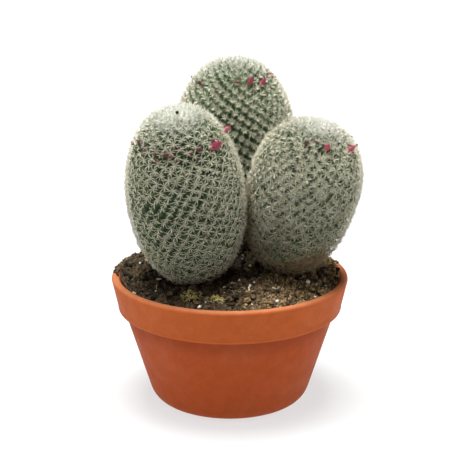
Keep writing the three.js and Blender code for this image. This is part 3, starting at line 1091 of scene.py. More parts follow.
    def add_wool(self, facets: Facets, random: Random) -> None:
        """Adds the felt of short white hairs at the top of the crown.

        Args:
            facets: What it is added to.
            random: The stream of random numbers.
        """
        egg = self.egg.shrunk(self.spine_rise + 0.4)
        r, z, arc = egg.outline(FINE_STEPS)
        at = self.wool_reach * np.sqrt(random.random(self.hairs)) ** 1.25
        turn = random.uniform(0, 2 * math.pi, self.hairs)
        radius = np.interp(at, arc, r)
        points = polar(radius, turn, np.interp(at, arc, z))
        way = unit(egg.normals(points) + random.normal(0, self.hair_sway, (self.hairs, 3)))
        length = random.uniform(*self.hair_lengths, self.hairs)
        radius = np.full(self.hairs, self.hair_radius)
        needles = Needles(egg.to_frame(points), way @ egg.turn().T, length, radius)
        needles.add_to(facets, tone=0 * turn, crown=1 - 0.3 * at / self.wool_reach, age=0 * turn)

    def remains(self, finish: Material) -> Piece:
        """Builds the withered scraps that lie between the flowers of the ring.

        Args:
            finish: The spent petals' material.

        Returns:
            The piece.
        """
        random = np.random.default_rng(self.seed + 2)
        facets = Facets()
        for _ in range(self.scraps):
            height = self.ring_height + random.normal(0, self.scrap_spread)
            place = self.place(random.uniform(-180, 180), height, random.uniform(*self.scrap_rises))
            points, faces = lump(random, True, self.scrap_length)
            points = points * random.uniform(*self.scrap_sizes) + place
            facets.add(points, faces, along=random.uniform(0, 1), tone=random.uniform(0, 0.6))
        piece = facets.build(f"withered_{self.name}", finish, smooth=False)
        return piece


class BloomKind(Enum):
    """The kinds of flower in the ring under a crown: outline from foot to tips, petals, layers and blush."""

    BUD = ("fresh", ((1.0, 0.0), (1.6, 2.8), (1.8, 5.4), (0.9, 7.8)), 6, 3, 0.4)
    SMALL_BUD = ("fresh", ((0.8, 0.0), (1.25, 2.6), (1.4, 4.4), (0.7, 6.0)), 5, 3, 0.28)
    SPENT = ("spent", ((0.7, 0.0), (1.0, 2.2), (1.1, 3.6), (0.5, 4.8)), 5, 2, 0.4)

    @property
    def finish(self) -> str:
        """Returns which petal finish it has."""
        return self.value[0]

    @property
    def outline(self) -> tuple[Array, Array]:
        """Returns the radii and the heights from foot to tips."""
        return np.array(self.value[1]).T

    @property
    def petals(self) -> int:
        """Returns how many petals a layer has."""
        return self.value[2]

    @property
    def layers(self) -> int:
        """Returns how many layers of petals it has."""
        return self.value[3]

    @property
    def blush(self) -> float:
        """Returns how far the strong colour runs down its petals, 0 to 1."""
        return self.value[4]


@dataclass
class Bloom:
    """One flower: layers of pointed petals round a short cup, seated in the furrows of its stem.

    The heart is the closed cup inside the petals. Each of its levels has a share of the outline's radius, a
    share of its height, and how far along the petals' colour it is.
    """

    name: str
    egg: Egg
    kind: BloomKind
    turn: float
    height: float
    sunk: float = 3.4
    up_tilt: float = 4.0
    petal_foot: float = 0.3
    petal_thickness: float = 0.16
    petal_width: float = 0.62
    petal_tip: float = 0.03
    petal_hollow: float = 0.06
    layer_step: float = 0.16
    flare: float = 0.25
    shortest: float = 0.86
    wilted: float = 0.9
    lively: float = 0.25
    twist: float = 0.4
    stations: int = 7
    lanes: int = 3
    heart_sides: int = 10
    heart_levels: ClassVar[tuple] = ((0.3, 0.86, 0.9), (0.72, 0.7, 0.7), (0.86, 0.35, 0.3), (0.8, 0.0, 0.0))
    heart_top: float = 0.9

    def seat(self) -> tuple[Array, Array]:
        """Finds where the flower stands.

        Returns:
            The foot's local place, and the local rotation that stands the flower on it.
        """
        turn = math.radians(self.turn)
        point = polar(self.egg.radius_at(self.height), turn, self.height)[None]
        normal = Vector(self.egg.normals(point)[0])
        across = Vector((-math.sin(turn), math.cos(turn), 0))
        axis = Matrix.Rotation(-math.radians(self.up_tilt), 3, across) @ normal
        rotation = np.array(Vector((0, 0, 1)).rotation_difference(axis).to_matrix())
        return point[0] - np.array(normal) * self.sunk, rotation

    def clear_of(self, points: Array, gap: float) -> Array:
        """Finds what lies outside the flower.

        Args:
            points: Local points of the stem.
            gap: How far outside they have to be.

        Returns:
            Whether each point is clear.
        """
        foot, rotation = self.seat()
        local = (points - foot) @ rotation
        radii, heights = self.kind.outline
        radius = np.interp(local[:, 2], heights, radii, left=0, right=0)
        return np.hypot(local[:, 0], local[:, 1]) > radius + gap * (radius > 0)

    def add_seated(self, facets: Facets, points: Array, faces: Array, along: Array) -> None:
        """Adds a part of the flower, seated on the stem, with how far along the petals each point is."""
        foot, rotation = self.seat()
        facets.add(self.egg.to_frame(points @ rotation.T + foot), faces, along=along, tone=self.kind.blush)

    def petal(self, layer: int, angle: float, random: Random) -> Array:
        """Shapes a petal.

        Args:
            layer: Its layer, 0 for the outer one.
            angle: Its turn round the flower.
            random: The stream of random numbers.

        Returns:
            Its outer face in the flower's own axes, as stations by lanes by 3.
        """
        radii, heights = self.kind.outline
        widest, foot = radii[2], self.petal_foot
        share = layer / max(1, self.kind.layers - 1)
        wilt = self.wilted if self.kind is BloomKind.SPENT else self.lively
        outer_end = heights[2] * self.shortest
        end = outer_end + (heights[3] - outer_end) * share + random.uniform(-wilt, self.lively)
        s = np.linspace(0, 1, self.stations)
        z = foot + s * (end - foot)
        radius = np.interp(z, heights, radii) * (1 - self.layer_step * layer)
        radius = radius + (1 - share) * self.flare * s**3 * widest * random.uniform(0.2, 1)
        swell = np.sin(math.pi * (0.16 + 0.84 * s) ** 0.9) ** 0.8
        width = widest * self.petal_width * swell * (1 - 0.2 * share)
        width[-1] = self.petal_tip
        lanes = np.linspace(-1, 1, self.lanes)[None, :]
        around = angle + lanes * (width / np.maximum(radius, 0.4))[:, None]
        around = around + random.uniform(-self.twist, self.twist) * wilt * s[:, None]
        out = radius[:, None] * (1 - self.petal_hollow * lanes**2)
        return polar(out, around, z[:, None])

    def blade_faces(self) -> Array:
        """Joins a petal's outer face, its inner one and the edge between them to a closed blade.

        Returns:
            The triangles.
        """
        lanes, last, size = self.lanes, self.stations - 1, self.stations * self.lanes
        faces = []
        for i in range(last):
            for j in range(lanes - 1):
                a, b = i * lanes + j, i * lanes + j + 1
                c, d = a + lanes, b + lanes
                faces += [(a, b, d), (a, d, c)]
                faces += [(size + b, size + a, size + d), (size + d, size + a, size + c)]
        rim = [(0, j) for j in range(lanes)] + [(i, lanes - 1) for i in range(1, last + 1)]
        rim += [(last, j) for j in range(lanes - 2, -1, -1)] + [(i, 0) for i in range(last - 1, 0, -1)]
        loop = [i * lanes + j for i, j in rim]
        for here, following in zip(loop, loop[1:] + loop[:1]):
            faces += [(following, here, size + here), (following, size + here, size + following)]
        return np.array(faces)

    def add_petal(self, facets: Facets, outer: Array) -> None:
        """Adds a petal as a closed thin blade.

        Args:
            facets: What it is added to.
            outer: Its outer face.
        """
        inner = outer - unit(outer * (1, 1, 0)) * self.petal_thickness
        points = np.concatenate([outer.reshape(-1, 3), inner.reshape(-1, 3)])
        along = np.tile(np.repeat(np.linspace(0, 1, self.stations), self.lanes), 2)
        self.add_seated(facets, points, self.blade_faces(), along)

    def add_heart(self, facets: Facets) -> None:
        """Adds the closed cup inside the petals.

        Args:
            facets: What it is added to.
        """
        radii, heights = self.kind.outline
        shares, levels, tones = np.array(self.heart_levels).T
        z = levels * heights[-1]
        points = revolve(shares * np.interp(z, heights, radii), z, self.heart_sides)
        points = np.concatenate([points, [[0, 0, self.heart_top * heights[-1]], [0, 0, 0]]])
        along = np.concatenate([np.repeat(tones, self.heart_sides), [1, 0]])
        self.add_seated(facets, points, closed_net(len(levels), self.heart_sides), along)

    def build(self, finish: Material, seed: int) -> Piece:
        """Builds the flower.

        Args:
            finish: Its petals' material.
            seed: The seed of its random numbers.

        Returns:
            The piece.
        """
        random = np.random.default_rng(seed)
        facets = Facets()
        self.add_heart(facets)
        for layer in range(self.kind.layers):
            for n in range(self.kind.petals):
                angle = 2 * math.pi * (n + 0.5 * (layer % 2)) / self.kind.petals + random.uniform(-0.08, 0.08)
                self.add_petal(facets, self.petal(layer, angle, random))
        piece = facets.build(self.name, finish)
        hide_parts(self.name)
        return piece


@dataclass
class Pot:
    """The round clay pan: tapered wall, rounded foot, rim band, rounded lip and drain holes.

    The drain offset turns a bore's sides by that share of a side, so that none meets a line of the floor.
    """

    sides: int = 144
    height: float = 65.0
    rim_radius: float = 59.4
    band_foot_radius: float = 56.3
    band_foot: float = 47.8
    wall_top_radius: float = 53.4
    foot_radius: float = 38.5
    foot_round: float = 7.6
    lip_round: float = 1.75
    lip_width: float = 3.5
    floor: float = 5.0
    floor_radius: float = 34.0
    floor_round: float = 3.0
    drain_radius: float = 4.0
    drain_sides: int = 24
    drain_offset: float = 0.3
    drain_ring: float = 15.0
    drains: int = 3

    def inner_radius(self, z: Array | float) -> Array | float:
        """Returns the radius of the tapered inside at each height."""
        top = self.rim_radius - self.lip_width
        return self.floor_radius + (top - self.floor_radius) * (z - self.floor) / (self.height - self.floor)

    @staticmethod
    def bend(start: tuple, corner: tuple, end: tuple, steps: int) -> list[Array]:
        """Returns the points of a bend from start to end that rounds a sharp corner."""
        a, b, c = np.array(start), np.array(corner), np.array(end)
        return [(1 - t) ** 2 * a + 2 * t * (1 - t) * b + t * t * c for t in np.linspace(0, 1, steps)]

    @staticmethod
    def straight(start: tuple, end: tuple, shares: Array) -> list[Array]:
        """Returns the points of a straight stretch of the outline, at shares of its length."""
        return [(1 - t) * np.array(start) + t * np.array(end) for t in shares]

    def outline(self) -> Array:
        """Follows the pot's section round the outside and into its inside.

        Returns:
            Rows of radius and height, from the foot up, over the lip and down to the inside floor.
        """
        slope = math.atan2(self.band_foot, self.wall_top_radius - self.foot_radius)
        foot_end = (self.foot_radius + self.foot_round * math.cos(slope), self.foot_round * math.sin(slope))
        wall_end = (self.wall_top_radius - 0.35, self.band_foot - 1.2)
        band, rim, foot, top = self.band_foot_radius, self.rim_radius, self.band_foot, self.height
        lip, inner = rim - self.lip_round, rim - self.lip_width
        floor, floor_radius = self.floor, self.floor_radius
        taper = [(self.inner_radius(z), z) for z in np.linspace(top - 1.2, floor + self.floor_round, 12)]
        return np.array([
            *self.bend((self.foot_radius - self.foot_round, 0), (self.foot_radius, 0), foot_end, 10),
            *self.straight(foot_end, wall_end, np.linspace(0, 1, 14)[1:-1]),
            *self.bend(wall_end, (self.wall_top_radius, foot), (self.wall_top_radius + 1.1, foot), 5),
            *self.bend((band - 1.2, foot), (band, foot), (band + 0.15, foot + 1.4), 6),
            *self.straight((band - 0.02, foot + 1.6), (rim - 0.02, top - self.lip_round),
                           np.linspace(0.06, 0.94, 7)),
            *self.bend((rim, top - self.lip_round), (rim, top), (lip, top), 7),
            *self.bend((inner + 0.9, top), (inner, top), (inner - 0.25, top - 1), 5),
            *taper,
            *self.bend((floor_radius + 0.6, floor + 2), (floor_radius, floor),
                       (floor_radius - self.floor_round, floor), 5),
        ])

    def build(self, finish: Material) -> Piece:
        """Turns the outline into the pot and bores its drain holes.

        Args:
            finish: The clay.

        Returns:
            The piece.
        """
        radius, height = self.outline()[::-1].T
        points = np.concatenate([revolve(radius, height, self.sides), [[0, 0, self.floor], [0, 0, 0]]])
        facets = Facets()
        facets.add(points, closed_net(len(radius), self.sides))
        piece = facets.build("clay_pot", finish)
        for turn in turns(self.drains):
            self.bore(piece, turn + math.pi / 2)
        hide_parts("pot")
        return piece

    def bore(self, piece: Piece, turn: float) -> None:
        """Cuts a drain hole through the floor.

        Args:
            piece: The pot.
            turn: The hole's turn round the pot.
        """
        sides = self.drain_sides
        angle = (np.arange(sides) + self.drain_offset) * 2 * math.pi / sides
        x = self.drain_ring * math.cos(turn) + self.drain_radius * np.cos(angle)
        y = self.drain_ring * math.sin(turn) + self.drain_radius * np.sin(angle)
        rows = [(a * MM, b * MM, z * MM) for z in (-2.0, self.floor + 2) for a, b in zip(x, y)]
        walls = [(i, (i + 1) % sides, sides + (i + 1) % sides, sides + i) for i in range(sides)]
        ends = [tuple(range(sides))[::-1], tuple(range(sides, 2 * sides))]
        mesh = bpy.data.meshes.new("drain")
        mesh.from_pydata(rows, [], walls + ends)
        cutter = bpy.data.objects.new("drain", mesh)
        bpy.context.scene.collection.objects.link(cutter)
        cut = piece.modifiers.new("drain", "BOOLEAN")
        cut.operation = "DIFFERENCE"
        cut.object = cutter
        bpy.context.view_layer.objects.active = piece
        bpy.ops.object.modifier_apply(modifier=cut.name)
        bpy.data.objects.remove(cutter)


# The longest that a stout lump can be, and the most that a lump is turned, in radians.
STOUT = 1.15
TUMBLE = 6.28


@functools.cache
def ball(fine: bool) -> tuple[Array, Array]:
    """Makes a round solid of 20 triangles, or of 80.

    Args:
        fine: Whether it has 80 triangles.

    Returns:
        Its corners, at a distance of 1 from its middle, and its triangles.
    """
    tall = (1 + math.sqrt(5)) / 2
    corners = [(-1, tall, 0), (1, tall, 0), (-1, -tall, 0), (1, -tall, 0), (0, -1, tall), (0, 1, tall),
               (0, -1, -tall), (0, 1, -tall), (tall, 0, -1), (tall, 0, 1), (-tall, 0, -1), (-tall, 0, 1)]
    faces = [(0, 11, 5), (0, 5, 1), (0, 1, 7), (0, 7, 10), (0, 10, 11), (1, 5, 9), (5, 11, 4),
             (11, 10, 2), (10, 7, 6), (7, 1, 8), (3, 9, 4), (3, 4, 2), (3, 2, 6), (3, 6, 8), (3, 8, 9),
             (4, 9, 5), (2, 4, 11), (6, 2, 10), (8, 6, 7), (9, 8, 1)]
    if fine:
        halves: dict[tuple[int, int], int] = {}

        def half(i: int, j: int) -> int:
            """Returns the index of the point halfway between two corners.

            Args:
                i: The first corner.
                j: The second corner.

            Returns:
                The index.
            """
            key = (min(i, j), max(i, j))
            if key not in halves:
                halves[key] = len(corners)
                corners.append(tuple((np.array(corners[i]) + np.array(corners[j])) / 2))
            return halves[key]

        split = []
        for a, b, c in faces:
            ab, bc, ca = half(a, b), half(b, c), half(c, a)
            split += [(a, ab, ca), (b, bc, ab), (c, ca, bc), (ab, bc, ca)]
        faces = split
    return unit(np.array(corners, float)), np.array(faces)


def lump(random: Random, fine: bool, long: float = STOUT) -> tuple[Array, Array]:
    """Makes an angular lump of radius about 1, or a flat sliver that lies level.

    Args:
        random: The stream of random numbers.
        fine: Whether it has 80 triangles and not 20.
        long: How long it can be. When it is longer than a stout lump, it is a sliver.

    Returns:
        Its points and triangles.
    """
    corners, faces = ball(fine)
    sliver = long > STOUT
    rough = corners * random.uniform(0.72, 1.15, (len(corners), 1))
    flattest = 0.4 if sliver else 0.6
    rough = rough * (random.uniform(0.8, long), random.uniform(0.5, 1.1), random.uniform(flattest, 1.0))
    tumble = random.normal(0, 0.35) if sliver else random.uniform(0, TUMBLE)
    turned = Matrix.Rotation(tumble, 3, Vector(random.normal(size=3)).normalized())
    turned = Matrix.Rotation(random.uniform(0, TUMBLE), 3, "Z") @ turned
    return rough @ np.array(turned).T, faces


@dataclass(frozen=True)
class Patch:
    """A soft-edged oval on the mix: its middle, its reach each way and its strength at the middle."""

    x: float
    y: float
    reach_x: float
    reach_y: float
    strength: float = 1.0

    def share(self, x: Array | float, y: Array | float) -> Array | float:
        """Returns its strength at each place."""
        return self.strength * bell(x, self.x, self.reach_x) * bell(y, self.y, self.reach_y)


@dataclass
class Bed:
    """The potting mix in the pot, with its crumbs, perlite, dry roots and moss.

    The nook lies between the two front stems, and the litter is the light, strawy part of the mix. A bank at
    the rim has its turn and spread in degrees and its rise. Perlite grains are given by place and radius,
    roots by place, heading in degrees and length, tufts of moss by place and reach, and the speck on the left
    crown by turn, height and rise. Each size of clod has its rise, and each heap of spilt crumbs its middle
    and spread in degrees and its number.
    """

    pot: Pot
    stems: list[Stem]
    form: SoilForm = field(default_factory=SoilForm)
    gap: float = 0.35
    rings: int = 128
    sectors: int = 400
    wall_levels: tuple = (56.0, 30.0, 8.0)
    wall_blend: float = 3.0
    wall_lumps: float = 0.4
    cover_gap: float = 0.5
    bed_tone: float = 0.75
    under_stem_gap: float = 0.15
    bank_start: float = 42.0
    bank_end: float = 52.0
    left_bank: tuple = (152, 26, 1.0)
    right_bank: tuple = (22, 20, 0.5)
    front_bank: Patch = Patch(-19, -35, 18, 7, 1.8)
    nook: Patch = Patch(7, 6, 8, 18)
    nook_depth: float = 2.4
    litter: Patch = Patch(8, -34, 26, 15)
    swell: float = 11.0
    swell_rise: float = 1.2
    small_crumbs: int = 1200
    large_crumbs: int = 620
    small_sizes: tuple = (0.35, 0.9)
    large_sizes: tuple = (0.9, 2.3)
    crumb_edge: float = 1.2
    sliver: float = 3.0
    spill_sizes: tuple = (0.45, 1.3)
    spill_inward: tuple = (1.2, 5.0)
    speck_size: float = 0.85
    more_perlite: int = 26
    perlite_sizes: tuple = (0.35, 0.7)
    perlite_edge: float = 52.0
    straws: int = 110
    straw_edge: float = 50.0
    straw_lengths: tuple = (1.5, 4.5)
    straw_radius: float = 0.12
    root_radius: float = 0.34
    fibre_sides: int = 5
    fibre_steps: int = 7
    fibre_wander: float = 0.13
    moss_density: float = 38.0
    moss_lengths: tuple = (0.7, 1.5)
    moss_radii: tuple = (0.22, 0.4)
    clods: tuple = ((5.2, 1.9), (2.4, 1.0), (1.2, 0.45))
    spills: tuple = ((164, 9, 110), (24, 8, 14))
    perlite: tuple = ((4.5, -24.6, 0.9), (9.8, -28.9, 1.0), (10.1, -7.5, 0.8), (22.4, -43.7, 0.9),
                      (-14.5, -50.4, 1.1), (38.1, -24.2, 1.1), (40.9, -36.0, 0.8), (-34.8, -18.6, 1.2),
                      (-35.7, -31.0, 0.8), (11.8, -25.3, 0.7), (9.2, -33.6, 0.8), (-28.3, 38.0, 1.0),
                      (38.0, 30.5, 0.9), (-45.0, 2.0, 0.9))
    roots: tuple = ((-3.3, -33.4, 62, 8), (-1.4, -29.6, 20, 5), (20.4, -31.6, -30, 3), (-19.3, -27.5, 12, 6),
                    (-13.1, -25.5, 28, 7), (9.0, -33.0, 85, 4), (-47.0, -30.0, -50, 3), (14.0, 51.0, 10, 8),
                    (-44.0, 22.0, 60, 7))
    moss: tuple = ((-18.6, -41.0, 5.0), (-6.6, -44.6, 3.4))
    speck: tuple = (-79.0, 42.9, 2.0)

    def rough(self, x: float, y: float) -> float:
        """Finds the lumps of the surface at a place.

        Args:
            x: The place along X.
            y: The place along Y.

        Returns:
            How far the surface stands over the smooth one.
        """
        bent = x + 0.8 * noise.noise(Vector((x / 2, y / 2, 4.4)))
        rough = self.swell_rise * noise.fractal(Vector((x / self.swell, y / self.swell, 3.1)), 1.0, 2.1, 3)
        for size, rise in self.clods:
            away, near = noise.voronoi(Vector((bent / size, y / size, 2.5 * size)))
            clod = min(1.0, 1.9 * (away[1] - away[0])) ** 0.6
            rough += rise * (clod - 0.55) + 0.5 * rise * noise.noise(near[0] * 3.7)
        return rough

    def heap(self, x: Array, y: Array) -> Array:
        """Finds how much the mix is banked up at the rim and the left stem, and sunk between the stems.

        Args:
            x: Places along X.
            y: Places along Y.

        Returns:
            The rise at each place.
        """
        turn = np.degrees(np.arctan2(y, x))
        left_turn, left_spread, left_rise = self.left_bank
        right_turn, right_spread, right_rise = self.right_bank
        bank = left_rise * bell(np.abs(turn), left_turn, left_spread) * (y > -20)
        bank = bank + right_rise * bell(turn, right_turn, right_spread)
        bank = bank * smoothstep(self.bank_start, self.bank_end, np.hypot(x, y))
        return bank + self.front_bank.share(x, y) - self.nook_depth * self.nook.share(x, y)

    def light_share(self, x: Array | float, y: Array | float) -> Array | float:
        """Returns how light the crumbs are at each place: darker on the left, and painted shade in the nook.
        """
        return (0.6 + 1.45 * smoothstep(-12, 46, x)) * (1 - 0.75 * self.nook.share(x, y))

    def under_stem(self, stem: Stem, x: Array, y: Array) -> Array:
        """Finds the height of a stem's underside by halving.

        Args:
            stem: The stem.
            x: Places along X.
            y: Places along Y.

        Returns:
            The height over each place, or a large number beside the stem.
        """
        egg = stem.egg.shrunk(stem.spine_rise + 0.3)
        low = np.full(len(x), self.pot.floor + 40)
        high = np.full(len(x), egg.centre[2])
        inside = egg.reach(egg.to_local(np.stack([x, y, high], 1))) < 1
        for _ in range(26):
            middle = (low + high) / 2
            within = egg.reach(egg.to_local(np.stack([x, y, middle], 1))) < 1
            high = np.where(within, middle, high)
            low = np.where(within, low, middle)
        return np.where(inside, high, 1e3)

    def surface(self, x: Array, y: Array, lumps: float = 1.0) -> Array:
        """Follows the finished surface, which dips under each stem.

        Args:
            x: Places along X.
            y: Places along Y.
            lumps: How much of the roughness counts.

        Returns:
            The heights.
        """
        rough = np.array([self.rough(a, b) for a, b in zip(x, y)]) * lumps
        inward = smoothstep(0, self.wall_blend, self.pot.inner_radius(self.pot.height) - np.hypot(x, y))
        rough = rough * (self.wall_lumps + (1 - self.wall_lumps) * inward)
        height = self.form.height(x, y) + rough + self.heap(x, y)
        for stem in self.stems:
            height = np.minimum(height, self.under_stem(stem, x, y) - self.under_stem_gap)
        return height

    def top_at(self, x: float, y: float, lumps: float = 1.0) -> float:
        """Returns the height of the finished surface at one place."""
        return self.surface(np.array([x]), np.array([y]), lumps)[0]

    def ground(self, finish: Material) -> Piece:
        """Builds the mix as one closed body.

        Args:
            finish: The mix's material.

        Returns:
            The piece.
        """
        edge = self.pot.inner_radius(self.pot.height - 1) - self.gap
        out = np.linspace(0, edge, self.rings)[1:]
        upper = revolve(out, 0 * out, self.sectors)
        upper[:, 2] = self.surface(upper[:, 0], upper[:, 1])
        levels = np.array(self.wall_levels)
        lower = revolve(self.pot.inner_radius(levels) - self.gap, levels, self.sectors)
        points = np.concatenate([upper, lower, [[0, 0, self.top_at(0.0, 0.0)], [0, 0, levels[-1]]]])
        random = np.random.default_rng(41)
        # Painted shade: the bed is darker in the nook between the front stems.
        tone = random.random(len(points)) * self.bed_tone * self.light_share(points[:, 0], points[:, 1])
        facets = Facets()
        facets.add(points, closed_net(len(out) + len(levels), self.sectors), tone=tone)
        piece = facets.build("mix_bed", finish)
        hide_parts("soil")
        return piece

    def scatter(self, count: int, random: Random, edge: float) -> Array:
        """Spreads places evenly over the mix.

        Args:
            count: How many there are.
            random: The stream of random numbers.
            edge: How far from the middle they may lie.

        Returns:
            Places that no stem covers.
        """
        out = edge * np.sqrt(random.random(count * 2))
        turn = random.uniform(0, 2 * math.pi, count * 2)
        x, y = out * np.cos(turn), out * np.sin(turn)
        free = np.ones(len(x), bool)
        for stem in self.stems:
            free &= self.under_stem(stem, x, y) > self.form.height(x, y) - self.cover_gap
        return np.stack([x[free], y[free]], 1)[:count]

    def crumbs(self, finish: Material) -> Piece:
        """Builds the loose crumbs of peat and bark, those spilt on the lip and one on a crown.

        Args:
            finish: The mix's material.

        Returns:
            The piece.
        """
        random = np.random.default_rng(53)
        facets = Facets()
        self.add_crumbs(facets, random, self.small_crumbs, self.small_sizes, False)
        self.add_crumbs(facets, random, self.large_crumbs, self.large_sizes, True)
        for spill in self.spills:
            self.add_spill(facets, random, *spill)
        points, faces = lump(random, True)
        facets.add(points * self.speck_size + self.stems[0].place(*self.speck), faces, tone=0.1)
        piece = facets.build("mix_crumbs", finish, smooth=False)
        return piece

    def add_crumbs(self, facets: Facets, random: Random, count: int, sizes: tuple, fine: bool) -> None:
        """Adds crumbs of one range of sizes, half of them slivers, smaller near the pot's wall.

        Args:
            facets: What they are added to.
            random: The stream of random numbers.
            count: How many there are.
            sizes: The smallest and the largest radius.
            fine: Whether each has 80 triangles and not 20.
        """
        edge = self.pot.inner_radius(self.pot.height) - self.crumb_edge
        places = self.scatter(count, random, edge)
        for (x, y), z in zip(places, self.surface(places[:, 0], places[:, 1])):
            radius = sizes[0] + (sizes[1] - sizes[0]) * random.random() ** 2.2
            radius = min(radius, max(self.small_sizes[0], edge + 1.0 - math.hypot(x, y)))
            long = self.sliver if random.random() < 0.5 else STOUT
            points, faces = lump(random, fine, long)
            # Painted shade: crumbs in the nook between the front stems are darker.
            tone = random.beta(0.6, 1.2) * self.light_share(x, y)
            tone += 0.2 * random.random() * self.litter.share(x, y)
            place = (x, y, z + radius * 0.25)
            facets.add(points * radius / long**0.35 + place, faces, tone=min(1.0, tone))

    def add_spill(self, facets: Facets, random: Random, middle: float, spread: float, count: int) -> None:
        """Adds a heap of crumbs on the pot's lip.

        Args:
            facets: What they are added to.
            random: The stream of random numbers.
            middle: The turn of the heap's middle in degrees.
            spread: How far it spreads, in degrees.
            count: How many crumbs it has.
        """
        rim = self.pot.rim_radius
        for _ in range(count):
            turn = math.radians(random.normal(middle, spread))
            out = rim - random.uniform(*self.spill_inward)
            radius = random.uniform(*self.spill_sizes)
            points, faces = lump(random, radius > 0.9)
            over = max(0.0, out - rim + 4.2)
            place = polar(out, turn, self.pot.height + 1.3 - 0.4 * over)
            facets.add(points * radius + place, faces, tone=random.uniform(0.2, 0.7))

    def grains(self, finish: Material) -> Piece:
        """Builds the white perlite grains.

        Args:
            finish: Their material.

        Returns:
            The piece.
        """
        random = np.random.default_rng(61)
        facets = Facets()
        places = self.scatter(self.more_perlite, random, self.perlite_edge)
        extra = [(x, y, random.uniform(*self.perlite_sizes)) for x, y in places]
        for x, y, radius in [*self.perlite, *extra]:
            points, faces = lump(random, True)
            place = (x, y, self.top_at(x, y) + radius * 0.5)
            facets.add(points * radius + place, faces, tone=random.random())
        piece = facets.build("perlite_grains", finish, smooth=False)
        return piece

    def fibres(self, finish: Material) -> Piece:
        """Builds the dry root ends that lie on the mix as thin bent tubes.

        Args:
            finish: Their material.

        Returns:
            The piece.
        """
        random = np.random.default_rng(67)
        facets = Facets()
        for x, y, heading, length in self.roots:
            self.add_fibre(facets, random, (x, y), heading, length, self.root_radius)
        for x, y in self.scatter(self.straws, random, self.straw_edge):
            if random.random() < 0.35 + 0.65 * self.litter.share(x, y):
                heading, length = random.uniform(0, 360), random.uniform(*self.straw_lengths)
                self.add_fibre(facets, random, (x, y), heading, length, self.straw_radius)
        piece = facets.build("dry_roots", finish)
        return piece

    def add_fibre(self, facets: Facets, random: Random, start: tuple, heading: float, length: float,
                  thickness: float) -> None:
        """Adds one thin bent tube that lies on the mix.

        Args:
            facets: What it is added to.
            random: The stream of random numbers.
            start: Where it starts.
            heading: Its first direction in degrees.
            length: Its length.
            thickness: Its radius at the thick end.
        """
        sides, steps = self.fibre_sides, self.fibre_steps
        x, y = start
        way = math.radians(heading)
        line = []
        for _ in range(steps):
            line.append((x, y, self.top_at(x, y, 0.5) + 0.7))
            x += math.cos(way) * length / steps
            y += math.sin(way) * length / steps
            way += random.normal(0, self.fibre_wander)
        middle = np.array(line)
        tangent = unit(np.gradient(middle, axis=0))
        side = unit(np.cross(tangent, [0, 0, 1.0]))
        up = np.cross(side, tangent)
        angle = turns(sides)[None, :, None]
        out = np.cos(angle) * side[:, None] + np.sin(angle) * up[:, None]
        tube = middle[:, None] + (thickness * np.linspace(1, 0.45, steps))[:, None, None] * out
        points = np.concatenate([tube.reshape(-1, 3), middle[:1], middle[-1:]])
        facets.add(points, closed_net(steps, sides), tone=random.random())

    def moss_tufts(self, finish: Material) -> Piece:
        """Builds the tufts of moss as domes of short pointed shoots.

        Args:
            finish: Their material.

        Returns:
            The piece.
        """
        random = np.random.default_rng(71)
        facets = Facets()
        for x, y, reach in self.moss:
            count = int(self.moss_density * reach)
            out = reach * np.sqrt(random.random(count)) * random.uniform(0.75, 1.05, count)
            turn = random.uniform(0, 2 * math.pi, count)
            px, py = x + out * np.cos(turn) * 1.15, y + out * np.sin(turn) * 0.8
            dome = 0.42 * reach * (1 - (out / (1.1 * reach)) ** 2)
            foot = np.stack([px, py, self.surface(px, py) + dome - 0.2], 1)
            way = np.stack([np.cos(turn) * 0.6, np.sin(turn) * 0.6, np.ones(count)], 1)
            way = unit(way + random.normal(0, 0.5, (count, 3)))
            length = random.uniform(*self.moss_lengths, count)
            needles = Needles(foot, way, length, random.uniform(*self.moss_radii, count))
            needles.add_to(facets, tone=random.random(count))
            for place in foot[::3]:
                points, faces = lump(random, False)
                facets.add(points * random.uniform(0.35, 0.7) + place, faces, along=0.4, tone=random.random())
        piece = facets.build("moss_tufts", finish)
        return piece


